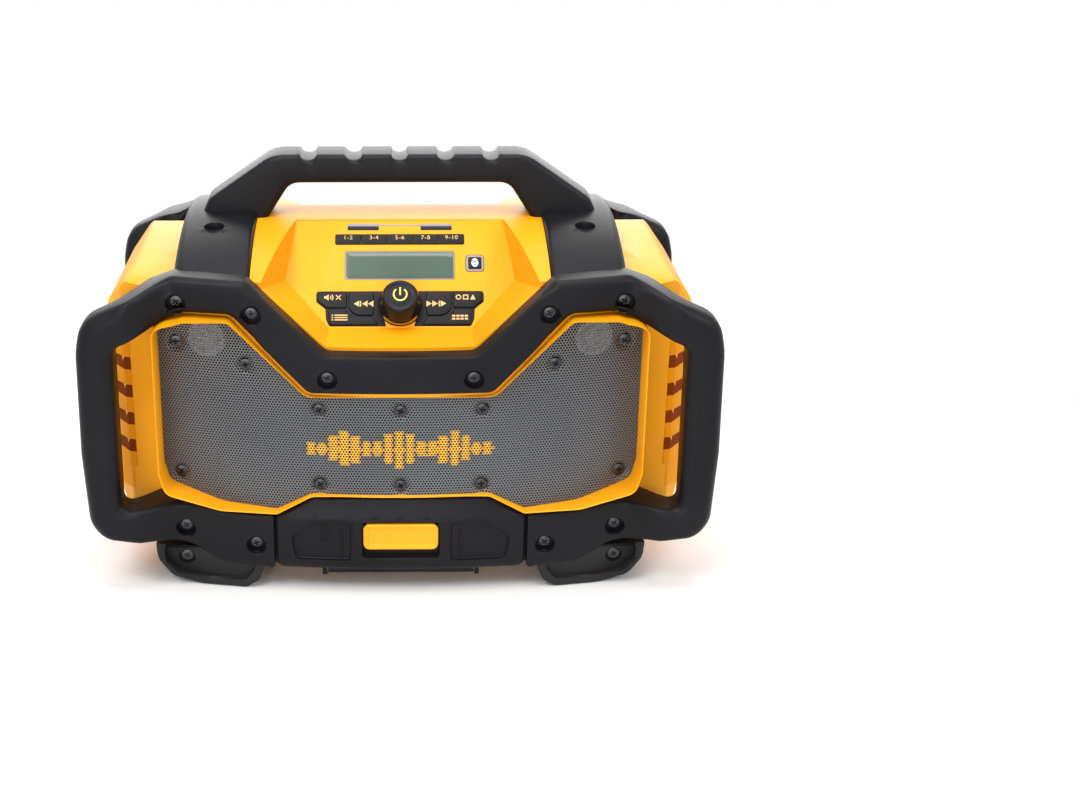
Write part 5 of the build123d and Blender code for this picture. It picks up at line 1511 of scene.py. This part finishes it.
def slatRows(z):
    # rows of a closed ring from the top down: the face moves along its normal by proud times the fall's
    # power less deep times the rest's power, and a plain back closes it
    face, normal = np.array(louvre["face"], float), np.array(louvre["normal"], float)
    deep, proud, fall = np.array(louvre["deep"]), np.array(louvre["proud"]), np.array(louvre["fall"])
    cover = z == louvre["cover"]
    plain = cover or z == louvre["slats"][-1]
    stand = proud * (0.0 if cover else 1.0)
    sunk = deep * (0.0 if plain else 1.0)
    skin = louvre["plainSkin"] if plain else np.array(louvre["skin"])
    swell, sink = fall ** louvre["swell"], (1 - fall) ** louvre["sink"]
    out = stand[None] * swell[:, None] - sunk[None] * sink[:, None] + skin
    out[-1] -= louvre["tuck"] * stand
    near = face[None] + normal[None] * out[..., None]
    back = np.broadcast_to((face - normal * (deep + louvre["wall"])[:, None])[None, ::-1], near.shape)
    plan = np.concatenate((near, back), 1)
    high = z + louvre["half"]
    low = z - louvre["half"] - (0 if cover else louvre["over"])
    height = np.broadcast_to((high + (low - high) * fall)[:, None], plan.shape[:2])
    return np.concatenate((plan, height[..., None]), -1)


def tubePart(rows):
    # rows of points joined round, with an end face at the first and the last
    return rows.reshape(-1, 3), [tubeFaces(*rows.shape[:2]), tubeEnds(*rows.shape[:2])]


def makeLouvres():
    # the first rows of each slat are painted shade, a dark band standing in for the shade under the ledge
    # above, and the rest is its blade, in a darkened orange that is painted shade as well
    split = louvre["shadeRows"]
    slats, shadeBands = [], []
    for z in louvre["slats"]:
        rows = slatRows(z)
        shadeBands.append(tubePart(rows[:split + 1]))
        slats.append(tubePart(rows[split:]))
    slats.append(tubePart(slatRows(louvre["cover"])))
    for name, group, material in (("louvreSlats", slats, slatShadedOrange), ("louvrePaintedShade", shadeBands, paintedShadeOrange)):
        right = joined(group)
        addPiece(name, joined([right, mirrored(right)]), material, "radio", "yellow_shell", angle=30)


makeLouvres()
print("louvres")


# battery sign on the left door: a rounded frame round a cell with a nub and three bars
sign = {"y": 10.0, "z": 118.0, "face": -223.15, "frame": (13, 13, 3.5, 1.3), "cell": (7.5, 4.2, 1.2, 0.9),
        "bars": [(-9, -1.8, -7.5, 1.8), (-5.4, -2.2, -2.6, 2.2), (-1.4, -2.2, 1.4, 2.2),
                 (2.6, -2.2, 5.4, 2.2)]}


def ringLoops(half, tall, r, wall):
    # outer and inner line of a rounded frame
    outer = rectangleLine(-half, half, -tall, tall, r, deck["step"])
    sides = (wall - half, half - wall, wall - tall, tall - wall)
    return [outer, rectangleLine(*sides, r - wall * 0.6, deck["step"])]


def makeSign():
    # every shape is filled flat on the door's face
    shapes = [ringLoops(*sign["frame"]), ringLoops(*sign["cell"])] + [[bar(*sides)] for sides in sign["bars"]]
    parts = []
    for loops in shapes:
        _, faces = capBetween(loops, 60.0)
        y, z = np.concatenate(loops).T
        parts.append((facingLeft(sign["y"] - y, z + sign["z"], np.full(len(y), sign["face"])), [faces]))
    addMarks("batterySign", joined(parts), bodyOf("battery_door"), ink)


makeSign()
print("battery sign")


# the remaining nodes keep their shape and get a finish
for name, node in nodes.items():
    if not node.hide_render:
        node.data.materials.clear()
        node.data.materials.append(finishes[slotOf[name]])
print("nodes dressed")


def makeFloor():
    # matt paper that catches the shadow near the radio and turns plain white further out
    half = studio["floorHalf"]
    mesh = bpy.data.meshes.new("floor")
    corners = [(-half, -half, 0), (half, -half, 0), (half, half, 0), (-half, half, 0)]
    mesh.from_pydata(corners, [], [(0, 1, 2, 3)])
    material, tree, shader = newMaterial("floorPaper")
    setSockets(shader, {"Base Color": (*studio["floor"], 1), "Roughness": 0.9})
    place = addNode(tree, "NewGeometry")
    reach = addNode(tree, "VectorMath", operation="LENGTH")
    far = addNode(tree, "MapRange", {"From Min": studio["near"], "From Max": studio["far"]},
                  interpolation_type="SMOOTHSTEP")
    both = addNode(tree, "Math", operation="MULTIPLY")
    paper = addNode(tree, "Emission", {"Color": (1, 1, 1, 1)})
    pick = addNode(tree, "MixShader")
    links = tree.links
    links.new(place.outputs["Position"], reach.inputs[0])
    links.new(reach.outputs["Value"], far.inputs["Value"])
    links.new(far.outputs["Result"], both.inputs[0])
    links.new(straightRays(tree), both.inputs[1])
    links.new(both.outputs["Value"], pick.inputs["Fac"])
    links.new(shader.outputs["BSDF"], pick.inputs[1])
    links.new(paper.outputs["Emission"], pick.inputs[2])
    links.new(pick.outputs["Shader"], nodeOf(tree, "OUTPUT_MATERIAL").inputs["Surface"])
    mesh.materials.append(material)
    newObject("floor", mesh)


makeFloor()
